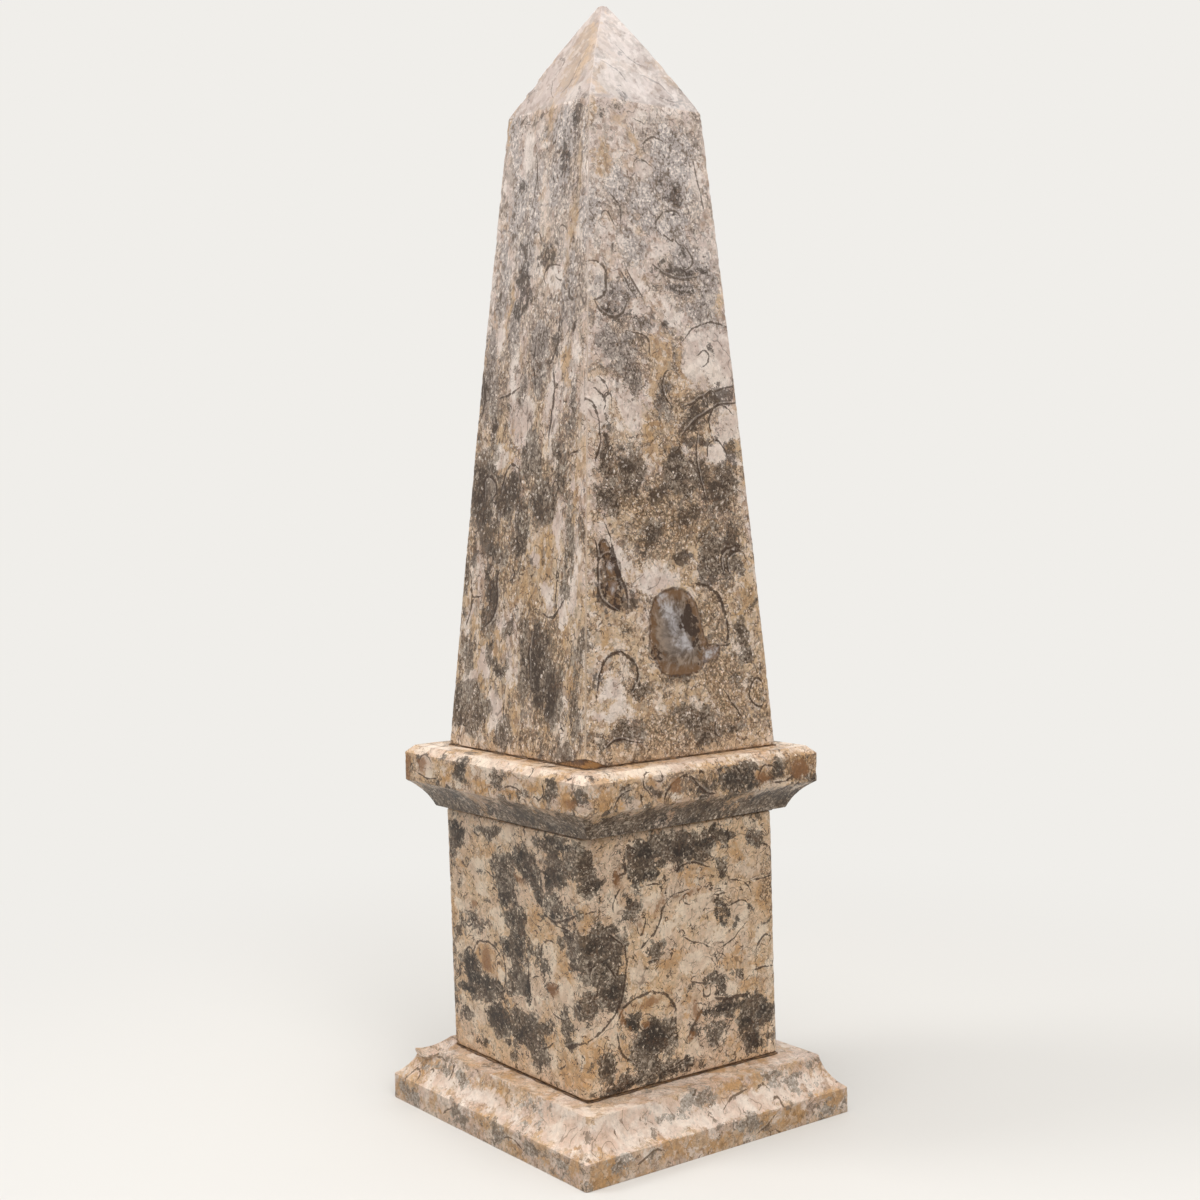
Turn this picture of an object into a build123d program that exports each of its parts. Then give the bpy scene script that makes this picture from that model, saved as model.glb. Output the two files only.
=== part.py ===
from build123d import *
from math import sqrt
import os

# Table obelisk of four glued stones, in millimetres, +Z up.
# The origin is the centre of the base slab's underside. The two show faces look along -Y and +X.

# Base slab: a vertical edge, then a hollow cove up to the flat top.
base_width = 75.2
base_edge_height = 5.7
base_cove_height = 7.3
base_cove_reach = 4.6
base_cove_hollow = 0.9
base_corner_ease = 0.6
base_chip_radius = 7.0
base_chip_depth = 1.6

# Pedestal block: nearly square, and not quite upright, as it was cut by hand.
pedestal_width_x = 52.7
pedestal_width_y = 54.5
pedestal_height = 55.6
pedestal_corner_radius = 1.4
pedestal_shift = (-0.2, -0.6)
pedestal_turn = -0.8
pedestal_lean = (-0.4, -1.1)

# Cap slab: a hollow cove below, a vertical edge, and a narrow bevel above.
cap_width_x = 66.9
cap_width_y = 68.1
cap_cove_height = 6.0
cap_cove_reach = 4.95
cap_cove_hollow = 0.65
cap_edge_height = 6.5
cap_bevel = 1.6
cap_corner_ease = 0.6
cap_shift = (-0.9, -0.8)
cap_turn = 1.4

# Shaft and pyramid point, one stone. Its faces swell slightly, as polished by hand.
shaft_foot_x = 52.2
shaft_foot_y = 54.7
shaft_shoulder_x = 29.9
shaft_shoulder_y = 31.4
shaft_height = 141.75
shaft_swell = 0.35
shaft_foot_radius = 1.4
shaft_shoulder_radius = 1.0
shaft_shift = (-0.4, -0.5)
shaft_turn = 0.5
point_height = 24.15
point_swell = 0.4
point_tip_width = 1.2
point_tip_radius = 0.5

# The shaft's front foot corner is broken off along a slanting plane and filled with resin.
break_along_x = 11.6
break_along_y = 6.0
break_height = 2.3
fill_recess = 0.3

# Glue beds between the stones, each set in from the edges of the stone above or below.
base_bed_thickness = 0.6
pedestal_bed_thickness = 0.5
shaft_bed_thickness = 0.3
bed_inset = 0.5

# Heights of the faces that the stones and the beds rest on.
base_top = base_edge_height + base_cove_height
pedestal_foot = base_top + base_bed_thickness
pedestal_top = pedestal_foot + pedestal_height
cap_foot = pedestal_top + pedestal_bed_thickness
cap_height = cap_cove_height + cap_edge_height + cap_bevel
cap_top = cap_foot + cap_height
shaft_foot = cap_top + shaft_bed_thickness


def hollow_arc(start, end, hollow):
    # An arc that sags by hollow, to the right of the way from start to end.
    run = Vector(*end) - Vector(*start)
    side = Vector(run.Y, -run.X) * (hollow / run.length)
    middle = (Vector(*start) + Vector(*end)) / 2 + side
    return ThreePointArc(start, (middle.X, middle.Y), end)


def base_side(half_width):
    # The base slab's right-hand outline, from the foot up.
    edge_top = (half_width, base_edge_height)
    cove_top = (half_width - base_cove_reach, base_top)
    return [
        Line((half_width, 0), edge_top),
        hollow_arc(cove_top, edge_top, base_cove_hollow),
    ]


def cap_side(half_width):
    # The cap slab's right-hand outline, from the foot up.
    cove_foot = (half_width - cap_cove_reach, 0)
    cove_top = (half_width, cap_cove_height)
    edge_top = (half_width, cap_cove_height + cap_edge_height)
    bevel_top = (half_width - cap_bevel, cap_height)
    return [
        hollow_arc(cove_top, cove_foot, cap_cove_hollow),
        Line(cove_top, edge_top),
        Line(edge_top, bevel_top),
    ]


def profile_face(side, foot_half_width, top_half_width, height):
    # Closes a right-hand outline and its mirror image into one face.
    other_side = [mirror(edge, about=Plane.YZ) for edge in side]
    foot = Line((-foot_half_width, 0), (foot_half_width, 0))
    top = Line((-top_half_width, height), (top_half_width, height))
    return make_face(side + other_side + [foot, top])


def mitred_slab(face_x, face_y, width_x, width_y, height, corner_ease):
    # Two mouldings crossed at right angles meet in mitres. A prism turned by 45 degrees eases the corners.
    along_y = extrude(Plane.XZ * face_x, amount=width_y / 2, both=True)
    along_x = extrude(Plane.YZ * face_y, amount=width_x / 2, both=True)
    across_corners = (width_x + width_y - 2 * corner_ease) / sqrt(2)
    prism = extrude(Rot(0, 0, 45) * Rectangle(across_corners, across_corners), amount=height)
    return along_y & along_x & prism


def place(shift, turn, height):
    return Location((shift[0], shift[1], height), (0, 0, turn))


def lofted(sections, straight):
    # Each section is (height, width_x, width_y, corner_radius).
    faces = [Pos(0, 0, height) * RectangleRounded(x, y, radius) for height, x, y, radius in sections]
    return loft(faces, ruled=straight)


def glue_bed(width_x, width_y, thickness):
    return extrude(Rectangle(width_x - 2 * bed_inset, width_y - 2 * bed_inset), amount=thickness)


def base_slab():
    half_width = base_width / 2
    top_half_width = half_width - base_cove_reach
    face = profile_face(base_side(half_width), half_width, top_half_width, base_top)
    slab = mitred_slab(face, face, base_width, base_width, base_top, base_corner_ease)
    # One upper corner is chipped: a shallow scoop taken out from above and outside.
    corner = Vector(-top_half_width, -top_half_width, base_top)
    outward = Vector(-1, -1, 1).normalized()
    scoop_centre = corner + outward * (base_chip_radius - base_chip_depth)
    return slab - Pos(*scoop_centre) * Sphere(base_chip_radius)


def pedestal_block():
    section = RectangleRounded(pedestal_width_x, pedestal_width_y, pedestal_corner_radius)
    foot = place(pedestal_shift, pedestal_turn, pedestal_foot) * section
    top = place(pedestal_top_shift(), pedestal_turn, pedestal_top) * section
    return loft([foot, top], ruled=True)


def pedestal_top_shift():
    return (pedestal_shift[0] + pedestal_lean[0], pedestal_shift[1] + pedestal_lean[1])


def cap_slab():
    half_x = cap_width_x / 2
    half_y = cap_width_y / 2
    face_x = profile_face(cap_side(half_x), half_x - cap_cove_reach, half_x - cap_bevel, cap_height)
    face_y = profile_face(cap_side(half_y), half_y - cap_cove_reach, half_y - cap_bevel, cap_height)
    slab = mitred_slab(face_x, face_y, cap_width_x, cap_width_y, cap_height, cap_corner_ease)
    return place(cap_shift, cap_turn, cap_foot) * slab


def whole_shaft():
    # The unbroken shaft, with its foot at height 0.
    foot = (0, shaft_foot_x, shaft_foot_y, shaft_foot_radius)
    shoulder = (shaft_height, shaft_shoulder_x, shaft_shoulder_y, shaft_shoulder_radius)
    middle = (
        shaft_height / 2,
        (shaft_foot_x + shaft_shoulder_x) / 2 + 2 * shaft_swell,
        (shaft_foot_y + shaft_shoulder_y) / 2 + 2 * shaft_swell,
        (shaft_foot_radius + shaft_shoulder_radius) / 2,
    )
    tip = (shaft_height + point_height, point_tip_width, point_tip_width, point_tip_radius)
    point_middle = (
        shaft_height + point_height / 2,
        (shaft_shoulder_x + point_tip_width) / 2 + 2 * point_swell,
        (shaft_shoulder_y + point_tip_width) / 2 + 2 * point_swell,
        (shaft_shoulder_radius + point_tip_radius) / 2,
    )
    return lofted([foot, middle, shoulder], False) + lofted([shoulder, point_middle, tip], False)


def break_plane():
    corner_x = shaft_foot_x / 2
    corner_y = -shaft_foot_y / 2
    left = Vector(corner_x - break_along_x, corner_y, 0)
    right = Vector(corner_x, corner_y + break_along_y, 0)
    up = Vector(corner_x, corner_y, break_height)
    return Plane(origin=left, x_dir=right - left, z_dir=(right - left).cross(up - left))


def obelisk_shaft():
    stone = split(whole_shaft(), bisect_by=break_plane(), keep=Keep.BOTTOM)
    return place(shaft_shift, shaft_turn, shaft_foot) * stone


def corner_fill():
    # The missing corner, its two outer faces a little inside the faces of the stone.
    shaft = whole_shaft()
    corner = split(shaft, bisect_by=break_plane(), keep=Keep.TOP)
    fill = corner & Pos(-fill_recess, fill_recess, 0) * shaft
    return place(shaft_shift, shaft_turn, shaft_foot) * fill


def base_glue_bed():
    bed = glue_bed(pedestal_width_x, pedestal_width_y, base_bed_thickness)
    return place(pedestal_shift, pedestal_turn, base_top) * bed


def pedestal_glue_bed():
    bed = glue_bed(pedestal_width_x, pedestal_width_y, pedestal_bed_thickness)
    return place(pedestal_top_shift(), pedestal_turn, pedestal_top) * bed


def shaft_glue_bed():
    bed = glue_bed(shaft_foot_x, shaft_foot_y, shaft_bed_thickness)
    return place(shaft_shift, shaft_turn, cap_top) * bed


pieces = [
    base_slab,
    base_glue_bed,
    pedestal_block,
    pedestal_glue_bed,
    cap_slab,
    shaft_glue_bed,
    obelisk_shaft,
    corner_fill,
]

os.makedirs("parts", exist_ok=True)
for piece in pieces:
    export_step(piece(), f"parts/{piece.__name__}.step")
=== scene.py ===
import math
import random

import bpy
import numpy as np
from mathutils import Matrix, Vector, noise


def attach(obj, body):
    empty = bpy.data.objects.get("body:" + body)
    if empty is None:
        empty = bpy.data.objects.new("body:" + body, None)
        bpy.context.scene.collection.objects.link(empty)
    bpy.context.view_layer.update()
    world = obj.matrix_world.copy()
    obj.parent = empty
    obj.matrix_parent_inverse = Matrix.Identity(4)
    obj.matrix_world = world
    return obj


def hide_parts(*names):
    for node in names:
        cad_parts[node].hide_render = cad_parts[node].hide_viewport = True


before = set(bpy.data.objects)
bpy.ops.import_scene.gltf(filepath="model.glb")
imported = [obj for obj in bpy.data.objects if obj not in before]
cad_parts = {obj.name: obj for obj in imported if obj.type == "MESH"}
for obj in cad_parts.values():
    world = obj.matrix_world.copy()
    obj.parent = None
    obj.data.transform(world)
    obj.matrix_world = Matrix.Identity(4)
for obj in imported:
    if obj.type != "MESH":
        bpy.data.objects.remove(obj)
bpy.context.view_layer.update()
mm = 0.001


class NodeTree:
    # a node tree that is written with one short call for each node
    def __init__(self, tree):
        self.tree = tree

    def plug(self, value, socket):
        if isinstance(value, bpy.types.NodeSocket):
            self.tree.links.new(value, socket)
        else:
            socket.default_value = value

    def add(self, kind, inputs=None, **settings):
        node = self.tree.nodes.new(kind)
        column, row = len(self.tree.nodes) % 14, len(self.tree.nodes) // 14
        node.location = (190 * column, -260 * row)
        for name, value in settings.items():
            setattr(node, name, value)
        for key, value in (inputs or {}).items():
            self.plug(value, node.inputs[key])
        return node

    def math(self, operation, *values, clamp=False):
        inputs = dict(enumerate(values))
        return self.add("ShaderNodeMath", inputs, operation=operation, use_clamp=clamp).outputs[0]

    def plus(self, a, b, clamp=False):
        return self.math("ADD", a, b, clamp=clamp)

    def minus(self, a, b, clamp=False):
        return self.math("SUBTRACT", a, b, clamp=clamp)

    def times(self, a, b, clamp=False):
        return self.math("MULTIPLY", a, b, clamp=clamp)

    def timesPlus(self, a, b, c):
        return self.math("MULTIPLY_ADD", a, b, c)

    def largest(self, a, b):
        return self.math("MAXIMUM", a, b)

    def smallest(self, a, b):
        return self.math("MINIMUM", a, b)

    def unsigned(self, a):
        return self.math("ABSOLUTE", a)

    def vector(self, operation, *values):
        node = self.add("ShaderNodeVectorMath", dict(enumerate(values)), operation=operation)
        return node.outputs["Value" if operation == "LENGTH" else "Vector"]

    def shift(self, vector, by):
        return self.vector("ADD", vector, by)

    def scale(self, vector, factor):
        return self.add("ShaderNodeVectorMath", {0: vector, "Scale": factor}, operation="SCALE").outputs[0]

    def split(self, vector):
        return self.add("ShaderNodeSeparateXYZ", {0: vector}).outputs

    def join(self, *axes):
        return self.add("ShaderNodeCombineXYZ", dict(enumerate(axes))).outputs[0]

    def channels(self, colour):
        return self.add("ShaderNodeSeparateColor", {0: colour}).outputs

    def mix(self, factor, a, b, blend="MIX"):
        inputs = {0: factor, 6: a, 7: b}
        return self.add("ShaderNodeMix", inputs, data_type="RGBA", blend_type=blend).outputs[2]

    def mixValue(self, factor, a, b):
        return self.add("ShaderNodeMix", {0: factor, 2: a, 3: b}, data_type="FLOAT").outputs[0]

    def step(self, value, low, high, toLow=0.0, toHigh=1.0):
        # a smooth step from low to high
        return self.add("ShaderNodeMapRange", {
            "Value": value, "From Min": low, "From Max": high, "To Min": toLow, "To Max": toHigh,
        }, interpolation_type="SMOOTHSTEP").outputs[0]

    def noise(self, vector, scale, detail=2.0, roughness=0.5, distortion=0.0):
        return self.add("ShaderNodeTexNoise", {
            "Vector": vector, "Scale": scale, "Detail": detail, "Roughness": roughness,
            "Distortion": distortion,
        }).outputs

    def cells(self, vector, scale, **settings):
        return self.add("ShaderNodeTexVoronoi", {"Vector": vector, "Scale": scale}, **settings).outputs

    def use(self, group, inputs):
        return self.add("ShaderNodeGroup", inputs, node_tree=group).outputs


class NodeGroup(NodeTree):
    # a new group; an input is given as its starting value, or as its kind where it has none
    def __init__(self, name, inputs, outputs, treeKind="ShaderNodeTree"):
        super().__init__(bpy.data.node_groups.new(name, treeKind))
        for label, start in inputs.items():
            plain = isinstance(start, str)
            kind = start if plain else {float: "Float", int: "Int", tuple: "Vector"}[type(start)]
            socket = self.socket(label, "INPUT", kind)
            if not plain:
                socket.default_value = start
        for label, kind in outputs.items():
            self.socket(label, "OUTPUT", kind)
        self.get = self.add("NodeGroupInput").outputs
        self.sink = self.add("NodeGroupOutput")

    def socket(self, label, side, kind):
        return self.tree.interface.new_socket(name=label, in_out=side, socket_type="NodeSocket" + kind)

    def give(self, values):
        for label, value in values.items():
            self.plug(value, self.sink.inputs[label])
        return self.tree


def srgb(red, green, blue):
    # 0 to 255 display values as a linear colour
    def toLinear(value):
        value /= 255
        return value / 12.92 if value <= 0.04045 else ((value + 0.055) / 1.055) ** 2.4
    return (toLinear(red), toLinear(green), toLinear(blue), 1.0)


def easedProfile(points, ease):
    # points are (inset, height) in mm; each sharp corner is cut into a short three-point round
    nearlyStraight = math.radians(165)
    rounded = [points[0]]
    for before, corner, after in zip(points, points[1:], points[2:]):
        corner = Vector(corner)
        toBefore = Vector(before) - corner
        toAfter = Vector(after) - corner
        if toBefore.angle(toAfter) > nearlyStraight:
            rounded.append(tuple(corner))
            continue
        reach = min(ease, toBefore.length / 2, toAfter.length / 2)
        start = corner + toBefore.normalized() * reach
        end = corner + toAfter.normalized() * reach
        middle = (start + end) / 4 + corner / 2
        rounded += [tuple(start), tuple(middle), tuple(end)]
    return rounded + [points[-1]]


def hollowRun(start, end, hollow, steps=8):
    # points on an arc that bends away from the straight run by hollow, positive towards the stone
    start, end = Vector(start), Vector(end)
    run = end - start
    side = Vector((run.y, -run.x)).normalized()
    points = []
    for i in range(steps + 1):
        share = i / steps
        points.append(tuple(start + run * share + side * hollow * 4 * share * (1 - share)))
    return points


def rowShares(profile, spacing):
    # gives every point of the profile a grid row of its own, about spacing mm apart
    rows = [0]
    for a, b in zip(profile, profile[1:]):
        rows.append(rows[-1] + max(1, round((Vector(b) - Vector(a)).length / spacing)))
    return [row / rows[-1] for row in rows], rows[-1] + 1


def setCurve(node, pairs):
    curve = node.mapping.curves[0]
    while len(curve.points) > 2:
        curve.points.remove(curve.points[1])
    curve.points[0].location = pairs[0]
    curve.points[1].location = pairs[-1]
    for pair in pairs[1:-1]:
        curve.points.new(*pair)
    for point in curve.points:
        point.handle_type = "VECTOR"
    node.mapping.update()


def dressedTree(nodes, geometry):
    # every tree ends in real geometry with its material
    real = nodes.add("GeometryNodeRealizeInstances", {"Geometry": geometry})
    dressed = nodes.add("GeometryNodeSetMaterial", {
        "Geometry": real.outputs[0], "Material": nodes.get["Material"],
    })
    return nodes.give({"Geometry": dressed.outputs[0]})


def stoneTree(name, profile, along):
    # a cube's grid is bent to a rounded rectangle whose size follows the profile up the stone
    nodes = NodeGroup(name, {
        "Geometry": "Geometry", "Width X": 0.05, "Width Y": 0.05, "Reach X": 0.01, "Reach Y": 0.01,
        "Height": 0.1, "Corner Radius": 0.001, "Top Radius": 0.001, "Columns": 80, "Rows": 80,
        "Merge Distance": 0.00003, "Material": "Material",
    }, {"Geometry": "Geometry"}, "GeometryNodeTree")
    get = nodes.get
    cube = nodes.add("GeometryNodeMeshCube", {
        "Size": (2.0, 2.0, 1.0), "Vertices X": get["Columns"], "Vertices Y": get["Columns"],
        "Vertices Z": get["Rows"],
    })
    x, y, z = nodes.split(nodes.add("GeometryNodeInputPosition").outputs[0])
    share = nodes.plus(z, 0.5, clamp=True)

    def followed(values):
        # a curve through the profile's values, as shares of the largest one
        curve = nodes.add("ShaderNodeFloatCurve", {"Value": share})
        setCurve(curve, [(t, value / max(values)) for t, value in zip(along, values)])
        return curve.outputs[0]

    insets, heights = zip(*profile)
    inset = followed(insets)
    halfX, halfY = (
        nodes.minus(nodes.times(get["Width " + axis], 0.5), nodes.times(get["Reach " + axis], inset))
        for axis in "XY")
    narrowing = nodes.minus(get["Top Radius"], get["Corner Radius"])
    radius = nodes.timesPlus(narrowing, share, get["Corner Radius"])
    radius = nodes.smallest(radius, nodes.times(nodes.smallest(halfX, halfY), 0.6))
    flat = nodes.join(nodes.times(x, halfX), nodes.times(y, halfY))
    core = nodes.join(nodes.minus(halfX, radius), nodes.minus(halfY, radius))
    nearest = nodes.vector("MAXIMUM", nodes.vector("MINIMUM", flat, core), nodes.scale(core, -1.0))
    spoke = nodes.vector("SUBTRACT", flat, nearest)
    spokeLength = nodes.largest(nodes.vector("LENGTH", spoke), 1e-7)
    pull = nodes.smallest(nodes.math("DIVIDE", radius, spokeLength), 1.0)
    rounded = nodes.shift(nearest, nodes.scale(spoke, pull))
    lift = nodes.join(0.0, 0.0, nodes.times(followed(heights), get["Height"]))
    placed = nodes.add("GeometryNodeSetPosition", {
        "Geometry": cube.outputs["Mesh"], "Position": nodes.shift(rounded, lift),
    })
    merged = nodes.add("GeometryNodeMergeByDistance", {
        "Geometry": placed.outputs[0], "Distance": get["Merge Distance"],
    })
    return dressedTree(nodes, merged.outputs[0])


def bakeTree(name, tree, values):
    # runs a tree on an empty mesh and keeps the result as a plain mesh object
    holder = bpy.data.objects.new(name + "Holder", bpy.data.meshes.new(name + "Empty"))
    bpy.context.scene.collection.objects.link(holder)
    modifier = holder.modifiers.new("build", "NODES")
    modifier.node_group = tree
    for item in tree.interface.items_tree:
        if item.item_type == "SOCKET" and item.in_out == "INPUT" and item.name in values:
            modifier[item.identifier] = values[item.name]
    holder.update_tag()
    bpy.context.view_layer.update()
    evaluated = holder.evaluated_get(bpy.context.evaluated_depsgraph_get())
    mesh = bpy.data.meshes.new_from_object(evaluated)
    mesh.name = name
    holder.modifiers.remove(modifier)
    bpy.data.objects.remove(holder)
    piece = bpy.data.objects.new(name, mesh)
    bpy.context.scene.collection.objects.link(piece)
    return piece


def vectorsOf(source, name):
    values = np.zeros(len(source) * 3, np.float32)
    source.foreach_get(name, values)
    return values.reshape(-1, 3).astype(float)


def writeAttribute(mesh, name, values):
    attribute = mesh.attributes.new(name, "FLOAT", "POINT")
    attribute.data.foreach_set("value", np.asarray(values, np.float32))


# Marks in mm on each face become point attributes that the stone material reads. A blotch is (across,
# height, half width, half height, turn in degrees). Across runs from left to right on the face as it is
# looked at from outside, and heights are above the foot of the base slab.

layerNames = ["grey", "ochre", "pale", "dark", "gravel", "agate", "gleam", "tawny"]
farAway = -3.0  # mm outside every blotch


def faceFrame(face, points, halfX, halfY, top):
    x, y, z = points.T
    if face == "front":
        return x, z, y + halfY
    if face == "right":
        return y, z, halfX - x
    if face == "back":
        return -x, z, halfY - y
    if face == "left":
        return -y, z, x + halfX
    return x, y, top - z  # the top face


def blotchDepth(frameOfFace, mark):
    # mm inside an ellipse (positive) or outside it (negative), fading out below the face
    across, up, depth = frameOfFace
    u, z, wide, tall = mark[:4]
    turn = math.radians(mark[4]) if len(mark) > 4 else 0.0
    du, dz = across - u, up - z
    a = (du * math.cos(turn) + dz * math.sin(turn)) / wide
    b = (dz * math.cos(turn) - du * math.sin(turn)) / tall
    small = min(wide, tall)
    return (1 - np.sqrt(a * a + b * b + (depth / max(1.5, small)) ** 2)) * small


def smoothPath(points, steps=8):
    # a Catmull-Rom curve through given points
    ends = [points[0]] + list(points) + [points[-1]]
    path = []
    for p0, p1, p2, p3 in zip(ends, ends[1:], ends[2:], ends[3:]):
        for i in range(steps):
            t = i / steps
            path.append(tuple(
                0.5 * (2 * b + (c - a) * t + (2 * a - 5 * b + 4 * c - d) * t ** 2
                       + (3 * b - a - 3 * c + d) * t ** 3)
                for a, b, c, d in zip(p0, p1, p2, p3)))
    return path + [points[-1]]


def ringPath(u, z, wide, tall, turn=0.0, start=0.0, end=360.0):
    count = max(8, int(abs(end - start) / 12))
    c, s = math.cos(math.radians(turn)), math.sin(math.radians(turn))
    path = []
    for i in range(count + 1):
        angle = math.radians(start + (end - start) * i / count)
        uneven = 1 + 0.13 * math.sin(2 * angle + 1.7 * u) + 0.08 * math.sin(3 * angle + 0.9 * z)
        a, b = wide * uneven * math.cos(angle), tall * uneven * math.sin(angle)
        path.append((u + a * c - b * s, z + a * s + b * c))
    return path


def drawPath(frameOfFace, path, width, lineValue, nearValue):
    # keeps the signed distance in half widths, and how near the line is, from 1 on it to 0 at its reach;
    # an open line thins towards its two ends
    across, up, depth = frameOfFace
    reach, skin, deepest = 1.4, 0.6, 2.0
    low, high = np.min(path, 0) - reach - width, np.max(path, 0) + reach + width
    inside = (across > low[0]) & (across < high[0]) & (up > low[1]) & (up < high[1])
    picked = np.nonzero(inside & (depth < deepest))[0]
    if not len(picked):
        return
    u, z, d = across[picked], up[picked], np.maximum(depth[picked] - skin, 0)
    best = np.full(len(picked), 1e9)
    side, along = np.ones(len(picked)), np.zeros(len(picked))
    closed = math.dist(path[0], path[-1]) < 0.3
    for step, ((u0, z0), (u1, z1)) in enumerate(zip(path, path[1:])):
        du, dz = u1 - u0, z1 - z0
        length = du * du + dz * dz
        if length < 1e-9:
            continue
        t = np.clip(((u - u0) * du + (z - z0) * dz) / length, 0, 1)
        gap = np.hypot(u - u0 - t * du, z - z0 - t * dz)
        closer = gap < best
        best = np.where(closer, gap, best)
        side = np.where(closer, np.sign(du * (z - z0) - dz * (u - u0)), side)
        along = np.where(closer, (step + t) / (len(path) - 1), along)
    near = np.clip(1 - np.hypot(best, d) / reach, 0, 1)
    win = near > nearValue[picked]
    target = picked[win]
    nearValue[target] = near[win]
    taper = 1.0 if closed else 0.35 + 0.65 * np.sqrt(np.sin(np.clip(along, 0, 1) * math.pi))
    lineValue[target] = (side * best / (width * 0.5 * taper))[win]


def strewMarks(seed, width, low, high, mix):
    # marks of the same kinds, for the faces and gaps that have no listed ones
    pick = random.Random(seed)

    def strewn(count, small, large, slim):
        for i in range(count):
            size = small + (large - small) * pick.random() ** 2
            across, up = pick.uniform(-width / 2, width / 2), pick.uniform(low, high)
            yield across, up, size, size * pick.uniform(slim, 1.0), pick.uniform(0, 180)

    marks = {"paths": [], "rings": []}
    for layer, amount in mix.items():
        for mark in strewn(*amount):
            start = pick.uniform(0, 360)
            if layer == "arcs":
                arc = ringPath(*mark, start, start + pick.uniform(60, 170))
                marks["paths"].append((pick.uniform(0.3, 0.55), arc))
            elif layer == "rings":
                marks["rings"].append((0.5, mark + (start, start + pick.uniform(190, 290))))
            else:
                marks.setdefault(layer, []).append(mark)
    return marks


def addMarks(stone, face, extra):
    marks = stone["marks"].setdefault(face, {})
    for layer, found in extra.items():
        marks[layer] = marks.get(layer, []) + found


def noiseArray(points, scale, seed):
    shift = Vector((seed * 7.3, seed * 3.1, seed * 5.7))
    return np.array([noise.noise(Vector(p) * scale + shift) for p in points])


def paintStone(mesh, points, stone, halfX, halfY):
    # blotches are painted through a slow wobble, so that no outline is a true ellipse
    count = len(points)
    wobble = [noiseArray(points, 0.15, seed) + 0.5 * noiseArray(points, 0.4, seed) for seed in (21, 22)]
    layers = {name: np.full(count, farAway) for name in layerNames}
    lines = {name: (np.full(count, 9.0), np.zeros(count)) for name in ("seam", "ring")}
    top = points[:, 2].max()
    for face, marks in stone["marks"].items():
        frameOfFace = faceFrame(face, points, halfX, halfY, top)
        across, up, depth = frameOfFace
        wobbled, eased = (
            (across + wobble[0] * reach, up + wobble[1] * reach, depth) for reach in (1.5, 0.7))
        for name in layerNames:
            for mark in marks.get(name, []):
                inside = blotchDepth(eased if name == "agate" else wobbled, mark)
                layers[name] = np.maximum(layers[name], inside)
        drawn = [("seam", width, smoothPath(points)) for width, points in marks.get("seams", [])]
        drawn += [("seam", width, path) for width, path in marks.get("paths", [])]
        drawn += [("ring", width, ringPath(*ring)) for width, ring in marks.get("rings", [])]
        for name, width, path in drawn:
            drawPath(eased, path, width, *lines[name])
    for name in layerNames:
        writeAttribute(mesh, name, layers[name])
    for name, (value, near) in lines.items():
        writeAttribute(mesh, name, np.clip(value, -9, 9))
        writeAttribute(mesh, name + "Near", near)


def scoop(points, centre, radius, outward=None):
    # pushes the surface out of a ball, which leaves a shell-shaped chip; with an outward direction it
    # moves only what lies behind the ball's middle, and so never the overhang of an edge above it
    offset = points - np.array(centre)
    distance = np.linalg.norm(offset, axis=1)
    inside = distance < radius
    if outward is not None:
        inside &= offset @ outward < -0.8 * radius
    away = offset[inside] / np.maximum(distance[inside], 1e-6)[:, None]
    points[inside] = np.array(centre) + away * radius


# lengths in mm; a chip's radius and depth are picked between two values, and offArris is the penalty
# that keeps a chip on the arris picked for it
wearSizes = {
    "wave": 0.06, "arrisReach": 1.6, "edgeReach": 0.9, "edgeShare": 0.8,
    "chipRadius": (1.2, 3.2), "chipDepth": (0.08, 0.26), "chipTilt": 0.6, "offArris": 50,
}


def wearStone(points, normals, stone, halfX, halfY, height):
    # everything moves inwards, so the stone stays inside its CAD box
    sizes = wearSizes
    waviness = (noiseArray(points, 0.07, stone["seed"]) + 1) * sizes["wave"]
    toArris = np.hypot(halfX - np.abs(points[:, 0]), halfY - np.abs(points[:, 1]))
    rough = np.abs(noiseArray(points, 0.55, stone["seed"] + 1))
    wear = np.clip(1 - toArris / sizes["arrisReach"], 0, 1) * (rough ** 1.3) * stone["arrisWear"]
    for level in stone["edgeLevels"]:
        close = np.clip(1 - np.abs(points[:, 2] - level) / sizes["edgeReach"], 0, 1)
        wear = np.maximum(wear, close * rough * stone["arrisWear"] * sizes["edgeShare"])
    resting = (points[:, 2] < 0.01) | (points[:, 2] > height - 0.01)
    inward = -(waviness + wear)[:, None] * normals
    inward[resting] = 0
    points += inward
    pick = random.Random(stone["seed"])
    for i in range(stone["smallChips"]):
        # small chips along the upright arrises
        level = pick.uniform(0.02, 0.98) * height
        mirrored = points[:, :2] * (pick.choice((-1, 1)), pick.choice((-1, 1)))
        away = np.abs(points[:, 2] - level) + toArris + sizes["offArris"] * (mirrored < 0).sum(1)
        corner = points[np.argmin(away)]
        sideX, sideY = math.copysign(1, corner[0]), math.copysign(1, corner[1])
        tilt = pick.uniform(-sizes["chipTilt"], sizes["chipTilt"])
        outward = np.array(Vector((sideX, sideY, tilt)).normalized())
        radius, depth = pick.uniform(*sizes["chipRadius"]), pick.uniform(*sizes["chipDepth"])
        scoop(points, corner + outward * (radius - depth), radius, outward)
    return wear


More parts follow.
